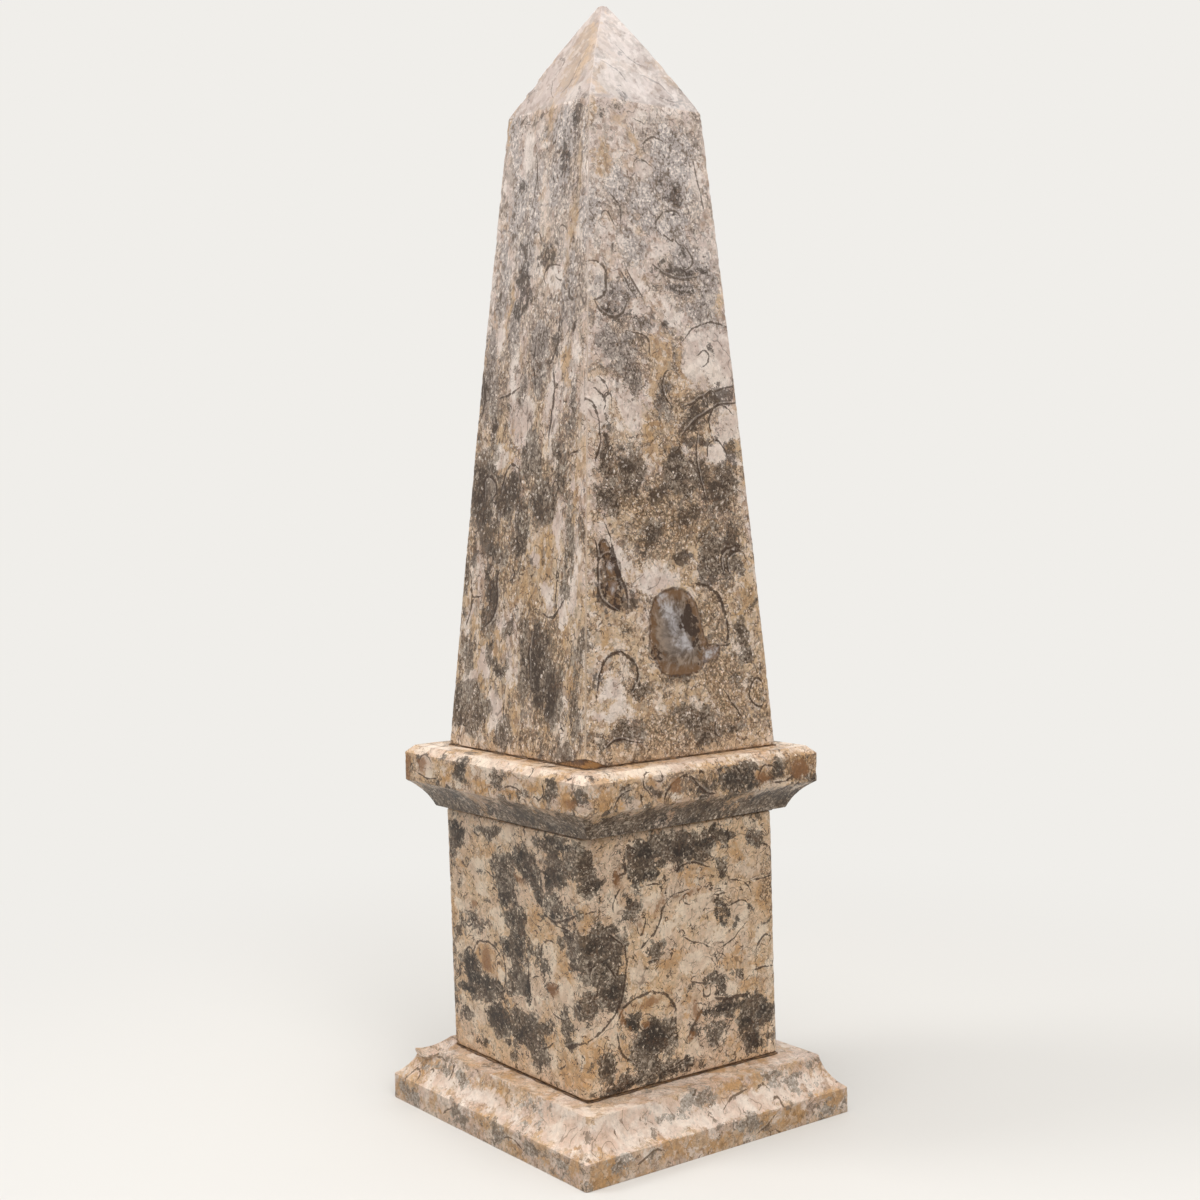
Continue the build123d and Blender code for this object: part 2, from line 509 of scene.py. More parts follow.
def breakCorner(points, stone):
    # cuts the front foot corner off along a slanting plane and roughens the break
    along, side, rise = stone["breakSize"]
    roughness = 0.25
    x, y = stone["widthX"] / 2, -stone["widthY"] / 2
    left, right, up = Vector((x - along, y, 0)), Vector((x, y + side, 0)), Vector((x, y, rise))
    outward = (right - left).cross(up - left).normalized()
    if outward.dot(Vector((1, -1, 0))) < 0:
        outward = -outward
    beyond = (points - np.array(left)) @ np.array(outward)
    cut = beyond > 0
    rough = np.abs(noiseArray(points[cut], 1.1, 4)) * roughness
    points[cut] -= (beyond[cut] + rough * np.clip(beyond[cut], 0, 1))[:, None] * np.array(outward)


def placeMatrix(shift, turn, foot, lean=(0.0, 0.0), height=1.0):
    lower = Matrix.Identity(4)
    lower[0][2], lower[1][2] = lean[0] / height, lean[1] / height
    shifted = Matrix.Translation(Vector((shift[0], shift[1], foot)) * mm)
    return shifted @ lower @ Matrix.Rotation(math.radians(turn), 4, "Z")


def buildStone(name, stone, profile, material):
    # grid from the tree, then wear, chips, painted marks, and the stone's own place in the stack
    insets, levels = np.array(profile).T
    reach, height = float(insets.max()), float(levels.max())
    reachX, reachY = stone.get("reachX", reach), stone.get("reachY", reach)
    along, rows = rowShares(profile, stone["rowSpacing"])
    tree = stoneTree(name + "Tree", profile, along)
    piece = bakeTree(name, tree, {
        "Width X": stone["widthX"] * mm, "Width Y": stone["widthY"] * mm,
        "Reach X": reachX * mm, "Reach Y": reachY * mm,
        "Height": height * mm, "Corner Radius": stone["cornerRadius"] * mm,
        "Top Radius": stone.get("topRadius", stone["cornerRadius"]) * mm,
        "Columns": stone["columns"], "Rows": rows, "Merge Distance": 0.00002,
        "Material": material,
    })
    mesh = piece.data
    points, normals = vectorsOf(mesh.vertices, "co") / mm, vectorsOf(mesh.vertex_normals, "vector")
    inset = np.interp(points[:, 2], levels, insets)
    halfX = stone["widthX"] / 2 - inset * reachX / reach
    halfY = stone["widthY"] / 2 - inset * reachY / reach
    paintStone(mesh, points + np.array((0, 0, stone["foot"])), stone, halfX, halfY)
    wear = wearStone(points, normals, stone, halfX, halfY, height)
    writeAttribute(mesh, "wear", np.clip(wear * 2, 0, 1))
    onFront = np.abs(normals[:, 1]) > np.abs(normals[:, 0])
    writeAttribute(mesh, "calm", points[:, 2] > stone.get("calmAbove", 1e3))
    # front and back faces of a streaked stone: upright streaks in the grain there, and on the point a
    # darkening that is partly painted shade
    writeAttribute(mesh, "streakAndShade", onFront * 1.0 if stone.get("frontStreakAndShade") else np.zeros(len(points)))
    for centre, radius in stone.get("scoops", []):
        scoop(points, np.array(centre), radius)
    if "breakSize" in stone:
        breakCorner(points, stone)
    mesh.vertices.foreach_set("co", (points * mm).ravel())
    mesh.update()
    lean = stone.get("lean", (0, 0))
    mesh.transform(placeMatrix(stone["shift"], stone["turn"], stone["foot"], lean, height))
    mesh.shade_smooth()
    mesh.set_sharp_from_angle(angle=math.radians(stone.get("sharpAngle", 16)))
    print(name, "triangles", sum(len(face.vertices) - 2 for face in mesh.polygons))
    return piece


# Marks on the two show faces of each stone. Seams are (width, points) and rings are
# (width, (across, height, half width, half height, turn, start, end)), with angles in degrees.
shaftMarks = {
    "right": {
        "tawny": [(-13, 229, 0.8, 3, 30), (-4.6, 217.6, 1.1, 5, 32), (-8, 222, 2, 1.2, 30)],
        "grey": [
            (3, 146, 6, 3), (6, 213, 6, 10), (-13, 184, 4.4, 3.6), (5, 186, 5, 2), (-5.5, 178, 2.5, 2),
            (18, 125, 3, 3), (2, 143, 4, 3, 20), (14, 139, 3, 3), (-6, 134, 3, 2, 30), (5, 200, 4, 3.5),
            (-18.5, 126, 2, 2), (-17, 90.5, 5, 2.2, 12), (11, 128, 4.4, 5), (-12, 99, 2.4, 2.6),
            (-10, 146, 4, 6), (-17, 142, 3, 7), (3, 92, 6, 3), (9, 193, 4, 5), (-1, 101, 5, 1.4, 10),
            (19, 108, 2.4, 5), (-2, 204, 4, 6), (-10, 208, 3, 3), (15, 190, 2, 6), (7, 88.6, 7, 2),
            (-10, 170, 3, 6), (16, 143, 4, 4), (12, 180, 5, 3), (-15, 173, 3, 5), (-6, 194, 3, 4),
        ],
        "ochre": [
            (-9, 231, 3, 3), (-19.2, 184.4, 3.2, 3.6), (-1, 152, 6.4, 6.4), (1, 162, 6, 8),
            (1.5, 171, 6, 4.4), (1, 165, 4.5, 10), (-2, 172, 3, 3), (5, 170, 2.5, 4), (2, 176, 3, 1.5),
            (10, 165.5, 3, 1.6, 45), (15, 95, 3.5, 3), (-12.6, 213, 2.6, 5), (-4.6, 217.6, 0.9, 4.8, 32),
            (22, 96, 2.5, 3), (-9, 136, 2.5, 4), (10.5, 117.5, 1.2, 2.4, -30), (-6, 103, 2.4, 1.6),
            (10, 101, 5, 1.5, 15), (-20, 112, 2, 4), (8, 131, 2, 4, 40), (-3, 94, 3, 4),
            (0, 134, 4, 1.5, 20), (12, 133, 3, 1.4), (20, 118, 2, 4),
        ],
        "pale": [
            # (-7, 230) by the foot of the point's arris between front and right faces is a painted highlight
            (-7, 230, 6, 3), (-1, 238, 2.4, 4, 20), (-14, 92, 3, 2.5), (-18.6, 95.4, 5, 2, 15),
            (-13, 128, 2.6, 4), (-6, 123, 4.5, 2), (14, 149, 3, 3.5), (14, 170, 9.4, 7.4, 20),
            (18, 156, 5, 4.4), (5, 193.5, 4.8, 2.8), (13, 210.5, 1.2, 6, -10), (-2, 211, 3, 2.5),
            (-3, 222.5, 3, 2.2), (-13, 199, 1.8, 2.5), (-18.5, 186, 4.2, 3.8), (-19, 161.5, 4.4, 4.4, 20),
            (-4, 181.5, 3, 1.4), (6.2, 200, 1.4, 1.2), (-20, 100, 2.4, 3), (-7, 187, 1.6, 3.6, 35),
            (-10, 160, 3, 5), (-13, 150, 2.6, 4), (4, 181, 3, 2),
        ],
        "dark": [
            # (3.0, 114.0), (4.4, 110.4) and (5.2, 109) are painted shade in a small hollow at the agate's
            # upper right
            (1.5, 127, 2.5, 1.8), (3.0, 114.0, 1.9, 2.8, 16), (4.4, 110.4, 1.3, 2.6, 10),
            (-19.8, 120, 0.8, 3), (-15.6, 117.6, 1.6, 1), (2.5, 150, 3, 1.4), (8, 153, 3, 1.1),
            (-12.5, 118.5, 2, 1.5), (5.2, 109, 0.7, 2.6, 15), (-16.2, 128.4, 0.6, 1.2, 15),
            (-20.6, 122, 0.5, 3.4, 4), (-15.2, 121, 0.9, 1.2), (-18, 117.8, 1.8, 0.6), (-22.5, 102, 1, 1.2),
            (-13.5, 105.5, 1, 1), (14, 173, 0.9, 0.9), (8, 157.5, 4, 1.6, 35), (16, 162.8, 6, 1.5, 15),
            (-16, 152.5, 0.8, 2.5), (5, 190, 5, 0.9, 4), (-13, 180.2, 4, 0.9), (10, 145, 1.4, 3),
            (4, 136, 4, 2, 30), (12, 141, 3, 1.6), (-3, 141, 2.6, 1.6), (17, 131, 2, 3),
            (-7, 131, 3, 1.5, 40), (5, 186, 3.4, 0.9), (18, 150, 1.6, 3), (6, 206, 2, 3),
            (-15.5, 123.5, 0.8, 1.5), (11, 122.5, 3, 1.2), (-13, 147, 1.5, 1),
        ],
        "agate": [
            (-0.7, 111.1, 7.6, 9.9), (3, 107, 5.2, 5), (9.4, 106, 2.6, 1.8), (-18.8, 129.4, 1.5, 2.2, 20),
            (-17, 125.4, 2.2, 2.2), (-18, 121.6, 2.5, 1.9), (-17.4, 118.4, 1.8, 1.4),
        ],
        "gleam": [
            (-0.6, 112.6, 1.3, 4.2, 22), (1.2, 108.2, 2, 1.7), (-3.4, 117, 0.9, 1.1), (10, 106, 1.1, 0.8),
            (-17.6, 122, 0.9, 0.7), (-16.8, 125.6, 0.8, 0.8),
        ],
        "gravel": [
            (10.2, 113.2, 3.4, 6.2, 20), (2, 139, 14, 11, 20), (14, 134, 8, 12), (-6, 133, 8, 7, 30),
            (2, 90, 22, 5), (12, 100, 9, 5), (-2, 101, 7, 3), (8, 158, 9, 4, 30), (0, 205, 14, 6),
            (8, 188, 8, 6), (-14, 145, 5, 10), (-10, 172, 6, 8), (5, 218, 9, 6),
        ],
        "seams": [
            (0.6, [
                (-23, 100), (-21.8, 104), (-20.5, 106.5), (-17, 107.5), (-14, 106), (-12, 103), (-14, 99.5),
            ]),
            (0.5, [(12.5, 97), (15, 94), (17, 91.5)]),
            (0.6, [(-18.5, 134.5), (-17, 131), (-16, 127), (-15, 124), (-14.2, 120), (-14, 116.8)]),
            (0.5, [(-21.5, 132), (-21.2, 128), (-21.4, 122), (-19.5, 118), (-17, 116.6)]),
            (0.5, [(-20.6, 127.6), (-18, 128.4), (-16.4, 127)]),
            (1.0, [(6.5, 121.6), (9.4, 121), (12, 118.4), (13.8, 115), (14.6, 111.6), (14.2, 108)]),
            (0.4, [(-2, 240), (0, 237), (3, 235.4)]), (0.4, [(2, 233), (6, 232), (9, 229)]),
            (0.35, [(-8, 235), (-5, 233.6), (-3, 231)]), (0.35, [(4, 228.6), (8, 227.8), (12, 228.6)]),
            (0.45, [(6, 174.5), (10, 177.6), (15, 179), (20, 178)]),
            (0.5, [(5, 160), (8, 160.6), (14, 163.6), (20, 165.2)]),
            (0.45, [(4, 154), (10, 158), (16, 161), (21, 161.5)]),
            (0.5, [(10.4, 171.6), (11.8, 172.6), (13.2, 171.6), (13, 169.8), (11.8, 168.8)]),
            (0.4, [(9, 155), (8.4, 149), (8.7, 145), (10, 140)]),
            (0.6, [(-1, 190.8), (2, 189), (5, 188.5), (8.5, 188.4), (11, 189)]),
            (0.5, [(-9, 191), (-7.6, 187), (-5, 184)]), (0.4, [(-10.4, 189), (-8.6, 185.6), (-6.4, 183.4)]),
            (0.6, [(-17.4, 182), (-16, 180), (-13, 179), (-10.4, 180), (-9, 182)]),
            (0.5, [(-18, 166), (-16, 164), (-15, 162), (-15, 159.5)]),
            (0.5, [(-23, 162), (-20, 161), (-19, 158), (-18.5, 152), (-20, 148)]),
            (0.4, [(-4, 222.3), (-1.4, 221.8)]), (0.45, [(-2, 217), (1, 218.6), (4, 218)]),
            (0.4, [(14.6, 204), (13.6, 210), (11.6, 216.4)]), (0.4, [(-12, 206), (-9, 203), (-9.6, 199)]),
            (0.45, [(-8, 176), (-4, 174.6), (-3.4, 171)]), (0.4, [(-22, 88), (-18, 89.4), (-12, 88.6)]),
        ],
        "rings": [
            (0.5, (18, 125.4, 3, 3, 0, 20, 230)), (0.4, (17.6, 125, 4.4, 4.2, 0, 60, 200)),
            (0.5, (22, 96, 2.4, 3, 20, 10, 300)), (0.4, (5, 200, 3.9, 3.4, 0, 40, 210)),
            (0.5, (-18.5, 186, 4.4, 4, 0, -80, 90)), (0.35, (-2, 211, 3, 2.6, 0, 30, 160)),
            (0.5, (17, 156, 5, 4.2, 0, 60, 210)), (0.4, (14, 149, 3.2, 3.7, 0, 0, 190)),
            (0.4, (5, 193.4, 5, 3, 0, -60, 60)), (0.45, (2, 164, 2.4, 4, 0, 100, 260)),
            (0.35, (-13, 199, 2, 2.7, 0, 0, 150)),
        ],
    },
    "front": {
        "tawny": [
            (3, 244.6, 0.8, 2.6, 24), (4.9, 239.6, 1.7, 4, 10), (6.2, 234, 1.2, 3.6), (1.8, 223, 0.8, 3.4),
            (13.2, 211, 0.9, 4.4), (11.6, 200, 1.3, 6), (10.6, 192, 1, 4),
        ],
        "grey": [
            (-17, 143, 6, 8), (-9, 128, 4, 3), (6, 140, 5, 5), (7, 108, 4, 6), (10, 102, 5, 6),
            (14, 97, 4, 6), (-7, 104, 3.5, 1.3), (-5, 112, 2, 2), (-20, 106, 3, 4), (-18, 93, 8, 6),
            (-5, 88, 4, 4), (22, 108, 2, 5), (22, 95, 2.5, 6), (7, 219, 3.4, 6), (6, 209, 2.6, 6, -10),
            (14.5, 158, 1.2, 5), (-17, 168, 3, 9), (-4, 195, 3, 5), (17, 200, 3, 6), (-6, 141, 5, 6),
            (-1, 134, 3, 8), (-12, 117, 3, 9), (-9, 205, 3, 8), (2, 172, 3, 9), (-8, 176, 2.5, 6),
            (11, 184, 3, 7), (-13, 190, 2, 8), (16, 128, 2, 9), (2, 150, 4, 5), (12, 146, 2, 6),
            (-3, 165, 2, 6), (-13, 155, 2, 5), (-11, 219, 2, 6), (-22, 121, 2, 7), (2, 104, 2, 8),
            (-2, 205, 2, 6), (19, 86, 4, 3),
        ],
        "gravel": [
            (8, 104, 9, 14), (4, 142, 8, 9), (-6, 128, 7, 9), (8, 212, 6, 12), (-6, 200, 6, 12),
            (2, 172, 6, 14), (14, 150, 4, 12), (-12, 165, 4, 12), (10, 88, 9, 4), (-20, 140, 5, 12),
            (14, 186, 4, 10),
        ],
        "ochre": [
            (1.5, 241, 3.4, 5, 10), (4, 234, 4.4, 6), (-3, 123, 5, 6), (-10, 108, 6, 4), (-1, 96, 1.2, 4),
            (0, 92.5, 1.4, 2), (16, 111, 2, 6), (14, 222, 1.4, 4), (1, 222, 0.9, 4), (13, 210, 0.9, 4),
            (12, 200, 1.8, 8), (11, 92, 3, 5), (-14, 98, 3, 5), (4, 117, 1.6, 5), (12, 170, 1.2, 8),
            (-10, 183, 1.2, 6), (8, 128, 2, 6), (19, 102, 1.4, 5), (-22, 130, 1.5, 5), (6, 86, 4, 2),
            (-7, 152, 1.6, 4), (18, 140, 1.2, 6), (9, 187, 1.4, 5),
        ],
        "pale": [
            # (9, 228.6) by the foot of the point's arris between front and right faces is a painted highlight
            (9, 228.6, 5, 2, 14), (-14, 142.5, 2.2, 2.4), (-17.5, 151, 1.1, 1.1), (-14.5, 147.5, 1, 1),
            (-10, 150, 3, 2.4), (-1, 158, 2.6, 6), (5, 126.5, 1.8, 1.8), (6, 188, 3.5, 3),
            (-2.5, 188, 0.9, 0.8), (-1, 195, 1.8, 2.6), (-6, 215, 2.4, 8), (-9, 196, 1.6, 6),
            (1, 182, 1.8, 5), (-13, 176, 2, 7), (6, 162, 1.6, 7), (10, 152, 1.6, 7), (-7, 168, 1.4, 6),
            (-13, 104, 3, 3), (-8, 92, 2.4, 5), (5, 94, 1.4, 5), (-20, 114, 1.6, 5), (10, 120, 2.4, 3),
            (15, 118, 2, 5), (-18, 100, 3, 2.6), (19, 122, 1.4, 7), (15, 176, 1, 9), (-3, 103, 1.5, 4),
            (12, 136, 1.6, 5), (17, 184, 2, 3.6),
        ],
        "dark": [
            (-6.5, 142, 3.4, 4), (-14, 133, 3.6, 6), (-12, 120, 2, 5), (-5, 187.5, 2.3, 4.2),
            (-4.6, 194, 0.9, 3), (-3, 139, 0.8, 3), (-8, 143.6, 0.8, 2.4), (-6.5, 182, 1, 2),
            (3.5, 193, 2.2, 1.6), (-17, 140, 3, 5), (7, 104, 2, 6), (13, 99, 2, 4), (8, 97, 2.4, 2),
            (-18, 128, 1, 4), (-10, 138, 1.4, 3), (-12, 146.5, 2.4, 1.4), (8, 214, 1.5, 5),
            (5, 138, 2.4, 3), (11, 222, 0.7, 4), (-13.6, 113, 0.8, 3), (-17, 146, 1.4, 1.4),
            (6.5, 110, 1.2, 3), (-18.6, 164, 1.4, 4), (9, 176, 0.9, 2.6),
        ],
        "seams": [
            (0.45, [(5.4, 240), (4.6, 236), (4.8, 232), (3.4, 228.6)]),
            (0.35, [(-4, 233), (-2, 230.4), (1, 228)]),
            (0.6, [(-8.5, 128), (-9.4, 122), (-9.4, 118), (-11, 114), (-13.5, 111.6)]),
            (0.5, [(4.5, 112), (4.2, 107), (5, 100)]), (0.5, [(8, 115.5), (12, 115.2), (16, 119)]),
            (0.9, [(9, 178), (9, 175), (8.5, 173), (6.5, 170)]),
            (0.6, [(7.8, 168), (8.4, 164), (8.3, 160), (7.8, 156), (8, 152)]),
            (0.5, [(-12, 163), (-8, 163.4), (-4, 165.5)]), (0.5, [(-20, 158), (-18, 162), (-18.6, 168)]),
            (0.4, [(1, 176), (0.4, 170), (1.2, 164)]), (0.4, [(-3, 216), (-2.4, 210), (-3.4, 204)]),
            (0.4, [(14, 214), (13.4, 208), (14.6, 202)]), (0.5, [(-20, 124), (-19, 118), (-20.4, 112)]),
            (0.4, [(12, 128), (13, 122), (12.2, 118)]), (0.4, [(-4, 100), (-5, 94), (-4.2, 90)]),
        ],
        "rings": [
            (0.6, (-14, 142.5, 2.3, 3.2, 24, -70, 200)), (0.5, (-5.5, 141, 4.4, 6.4, -20, 30, 190)),
            (0.4, (-1, 195.3, 2.5, 3.5, 0, 20, 200)), (0.35, (8, 197, 1.7, 2, 0, 0, 220)),
            (0.4, (6, 188, 3.7, 3.1, 0, 60, 200)),
        ],
    },
}
pedestalMarks = {
    "front": {
        "tawny": [
            (15.1, 35.1, 1.7, 1.3), (-11.1, 35.8, 2.2, 3), (-15.3, 48.1, 0.9, 0.9), (4, 57, 1.4, 0.7),
        ],
        "grey": [
            (-2, 57, 4.6, 5.4, -20), (1.4, 46, 4.2, 7), (2, 36, 3.6, 5), (9, 59, 9, 3.4, -42),
            (17, 53.6, 6, 3, -30), (18, 62, 5, 4.4), (5, 23.4, 7, 4.6, -20), (10, 19, 4, 3),
            (-13, 29.4, 8, 3.4, -10), (-17, 31, 4, 5), (24, 45, 3.6, 4.6), (-21.5, 64, 3.5, 3.5),
            (-24, 60, 1.6, 2.4), (-1, 60, 2.5, 2), (4, 62.5, 3, 2.5), (8, 59.5, 5, 2.5, -45),
            (11, 55.5, 2.5, 3), (17, 52.8, 5.8, 2.2), (23, 53.5, 2.4, 0.9), (16.5, 60, 4, 3),
            (17, 66.5, 6, 2), (23.5, 64, 3.5, 4), (-2, 52.5, 5, 3.2), (1, 48, 4, 3), (2.5, 43, 3, 4),
            (6, 41, 1.5, 4), (-2, 41, 4, 2.5), (-13, 44.5, 5, 1.3), (-22, 41.5, 1.6, 2.5), (-20, 28, 3, 2),
            (-14, 30.5, 6, 2.6), (-17, 27, 5, 1.8), (-8, 31, 3, 2), (0, 33, 3.5, 2.5), (5, 33.5, 3, 2.5),
            (-6, 23.5, 5.5, 4.3), (2, 23, 5, 3), (6, 26.5, 2, 1.5), (11.5, 26.5, 2.5, 1.3), (9, 18, 4, 2.5),
            (0, 16, 1.7, 1.2), (-13, 17, 2, 1), (-20, 22, 3, 1.5), (10.5, 42.5, 2, 2.5), (25.5, 47, 3.2, 2),
            (25.5, 32.5, 3.2, 3), (-25, 34, 1.4, 3), (-18, 33, 3.2, 4.6), (-11, 50, 1.6, 1.2),
            (19, 45, 1.4, 1), (-22, 52, 1.6, 1), (20, 28, 2.6, 4, 20), (-25, 24, 2, 3), (-8, 66, 4, 1.4),
            (13, 38, 1.4, 2.4),
        ],
        "dark": [
            (-21, 64.6, 2, 2), (7.5, 60, 3, 1.1, -45), (17.5, 51.6, 4.6, 1, 4), (-3, 52, 2.8, 1.6),
            (1, 47, 2.2, 1.4), (2.6, 43, 1.3, 2.6), (-18, 33, 2.2, 4.4), (-14, 30.4, 4, 1.2),
            (-6, 24, 3.4, 2.4), (3, 23, 2.6, 1.5), (5.5, 33, 1.6, 1.6), (-19, 27.6, 2.2, 1),
            (3.6, 62.5, 1.8, 1.2), (16, 60.4, 2, 1.4), (-2, 41, 2, 1), (10.5, 55, 1.2, 1.8),
            (17, 67, 3.4, 0.9), (14, 35, 1.6, 0.9, 20),
        ],
        "ochre": [
            (-11, 36.5, 5.5, 3.8), (-14, 37, 1.4, 1.4), (-5.4, 34, 2.4, 3), (22, 19, 5, 4), (13, 24, 3, 2),
            (-24, 45, 2, 5), (-8, 62, 3, 2), (20, 40, 3, 4), (-20, 57, 2, 2), (8, 50, 2, 3),
            (-2, 28, 3, 1.4), (-24, 18, 2, 3), (14, 47, 2.4, 1.6),
        ],
        "pale": [
            (-6, 47, 3.4, 2), (-14, 57, 4, 3), (14, 41, 3, 4), (20, 35, 3, 3), (-5, 34, 1.6, 1.8),
            (9, 66, 2.4, 1.4), (-14, 66, 3, 1.4), (-14, 22, 4, 2), (14, 19.6, 2, 2.4), (-12, 52, 3, 1.6),
            (22, 58, 2, 2), (-2, 66, 3, 1.6), (8, 30, 3, 1.3), (-20, 47, 3, 1.8),
        ],
        "seams": [
            (0.6, [(12.6, 51.4), (15, 50.3), (19, 50.4), (24.4, 53.5)]),
            (0.45, [(-3.5, 40), (-3.2, 36), (-3.8, 30.5)]), (0.45, [(-8, 30.3), (-6, 30), (-3.8, 30.3)]),
            (0.4, [(-4.2, 40), (-6.5, 38)]), (0.6, [(6.2, 40), (6, 36), (6.5, 32)]),
            (0.6, [(19, 23.5), (22, 24.3), (26.6, 26)]), (0.7, [(12.4, 34.6), (15, 35.4), (17.5, 36.4)]),
            (0.4, [(-19, 57.6), (-18, 56.4), (-17, 57.6)]), (0.4, [(-8, 58.6), (-7, 59.6), (-6, 58.4)]),
            (0.4, [(-4.6, 62.4), (-3.4, 63.6)]), (0.4, [(-8, 52.6), (-7, 53.6), (-5.6, 53)]),
            (0.5, [(-14.6, 65.3), (-12.6, 64.8)]), (0.4, [(8, 36.2), (10, 36.8)]),
            (0.5, [(10.5, 21), (12.6, 22), (14.5, 23.5)]), (0.35, [(17, 49), (24, 49.3)]),
            (0.5, [(-20, 36.4), (-18, 38), (-16, 36.4)]), (0.4, [(-24, 29), (-22, 31), (-22.6, 34)]),
            (0.4, [(14, 30), (18, 29), (21, 30.4)]), (0.35, [(-10, 57), (-7, 56), (-5, 57.4)]),
        ],
        "rings": [
            (0.4, (-17.2, 44.7, 2.3, 1.7, 40, 30, 310)), (0.5, (-11, 36.5, 6, 4.2, 0, 20, 170)),
            (0.4, (14, 41, 3.2, 4.2, 0, 60, 200)),
        ],
    },
    "right": {
        "tawny": [
            (1.2, 23.1, 1.2, 0.9), (3.4, 27.6, 0.8, 1.8, 20), (-11.2, 27.7, 0.9, 0.9),
            (-16.7, 59.5, 0.8, 1.6), (-11.7, 49, 0.6, 1), (-9.6, 32.6, 3, 0.5), (-6, 52.5, 0.7, 1.8, -30),
            (0.6, 53.8, 2.6, 0.5, 10), (-17.4, 29, 0.5, 2.4, 14),
        ],
        "grey": [
            (-16, 16, 8, 1.6), (-2, 16.4, 5, 1.4), (-21.4, 42.5, 5.4, 5), (-20.4, 35, 4, 4), (0, 64, 10, 4),
            (-11, 61, 4, 4.4), (-10, 23, 6.4, 5.4), (-11, 17.6, 4, 3), (20, 24.6, 6, 4.6),
            (-11, 64, 4.5, 3.5), (-6, 61, 3, 2), (0, 63.5, 6, 4), (6, 64, 5, 3.5), (12, 64.5, 3.5, 2),
            (-9, 58.5, 4, 1.7), (-26, 63, 2.5, 4), (-24, 59.5, 2.5, 3), (-13, 58.5, 2, 1.3),
            (-13.5, 53, 2.8, 3), (-23, 46, 5.5, 3.5), (-21, 42.5, 4, 2.5), (-20, 36.5, 4, 4),
            (-26, 33, 2.5, 4), (-9, 24, 5.6, 5.2), (-15, 28, 3, 3), (-9, 18.6, 4, 3), (-22, 20, 3, 2.5),
            (12.5, 57, 1.5, 2), (12, 49, 2, 2), (22, 63, 2, 2.5), (-8, 43, 1.8, 1.8), (8, 34, 2, 0.9),
            (15.8, 33.3, 1, 1), (11, 31.5, 1, 1.2), (11, 26, 5, 2), (8.5, 20.5, 2.5, 3), (18, 23, 3, 3),
            (23, 24, 3.4, 4), (20, 18, 4, 3), (1, 66.5, 12, 2), (20, 47, 1.2, 1),
        ],
        "dark": [
            (-19, 14.8, 5, 0.7), (-6, 15, 5, 0.7), (3, 15.2, 2, 0.5), (-21.8, 41.8, 1, 1),
            (0, 64, 3.4, 1.6), (-11, 64.6, 2.2, 1.4), (7, 64.6, 2.4, 1.2), (-9, 24, 4, 3.6),
            (-15, 27.6, 1.6, 1.6), (2.6, 24.2, 1.8, 1.8), (11, 26.4, 3, 0.9), (18, 23, 1.6, 1.5),
            (23, 25, 1.8, 2), (-9.4, 58.4, 2.4, 0.7), (20, 18, 2, 1.2), (22, 68, 0.9, 0.6),
            (-20, 36, 1.8, 1.6), (-16.5, 59.8, 1.4, 0.8), (-23.6, 46, 2.6, 1), (11.6, 22.6, 0.9, 1.2),
        ],
        "ochre": [
            (-26, 22, 2, 5), (-11.3, 27.8, 2, 2), (-11.4, 31.8, 1, 2.4), (-17.5, 29, 1.4, 3),
            (-4.6, 30.6, 1.4, 2), (24, 50, 3, 4), (4, 58, 4, 2), (16, 61, 2, 2), (20, 31, 4, 1.6),
            (-3, 40, 3, 2), (15, 37, 3, 2), (0, 30, 2, 1.6), (-26.5, 52, 1.5, 4), (14, 18, 2, 2),
            (-17, 22, 2, 2), (22.6, 35.6, 2, 1),
        ],
        "pale": [
            (4, 50, 5, 2.4), (-18, 52, 3, 2.4), (-4, 47, 3, 2), (16, 47, 3, 3.4), (3, 37.6, 5, 2.4),
            (22, 42, 3, 2), (-13, 39, 2.4, 3), (-8, 53, 2.4, 2), (20, 57, 3.4, 2), (8, 45, 3, 1.6),
            (-12, 48.6, 0.9, 1.8), (-25, 39, 1.6, 2), (12, 30.2, 3, 0.8), (2, 19, 3, 2),
            (-24, 27.6, 3, 1.4), (25, 29, 1.6, 2),
        ],
        "seams": [
            (0.5, [(-15, 65.5), (-15.2, 62), (-14.8, 60.5), (-17, 60), (-17.8, 58)]),
            (0.4, [(-16.8, 57.5), (-18.5, 55), (-19, 52.5)]), (0.5, [(-15, 66.5), (-13, 65.5)]),
            (0.4, [(-9.5, 57), (-6.5, 56.7)]),
            (0.45, [(2, 55), (-3, 54), (-5.3, 51.5), (-6.5, 48.5), (-9, 46), (-12, 44)]),
            (0.35, [(-20, 48), (-17, 45.5)]),
            (0.55, [(-16.2, 44.5), (-15.7, 41), (-16.5, 36), (-18.5, 32), (-22, 28), (-27, 25.7)]),
            (0.6, [(-19, 28), (-17, 32), (-12, 34.2), (-7, 33.5), (-5, 32), (-3, 29), (-2.8, 25)]),
            (0.5, [(-19, 26), (-18, 22), (-15, 20)]), (0.45, [(9, 52.3), (13, 52.3)]),
            (0.4, [(9.5, 53.5), (11.5, 53.3)]), (0.4, [(21, 53.9), (26.5, 54.6)]),
            (0.4, [(10.5, 40.8), (15, 42), (18, 44.5)]), (0.4, [(0.5, 44), (5, 42), (8, 41)]),
            (0.4, [(-10, 40.8), (-7, 40.8)]), (0.9, [(9, 29.5), (12, 28.5), (15, 28.3), (18, 28.7)]),
            (0.8, [(0.6, 23), (3, 25.6), (5, 27.5)]), (0.4, [(20, 34), (26, 34)]),
            (0.4, [(0, 18), (-5, 16)]), (0.4, [(24, 62), (26, 61), (26.6, 59)]),
            (0.35, [(14, 55), (18, 54), (20, 51)]), (0.35, [(-2, 59), (3, 60.4), (8, 59)]),
        ],
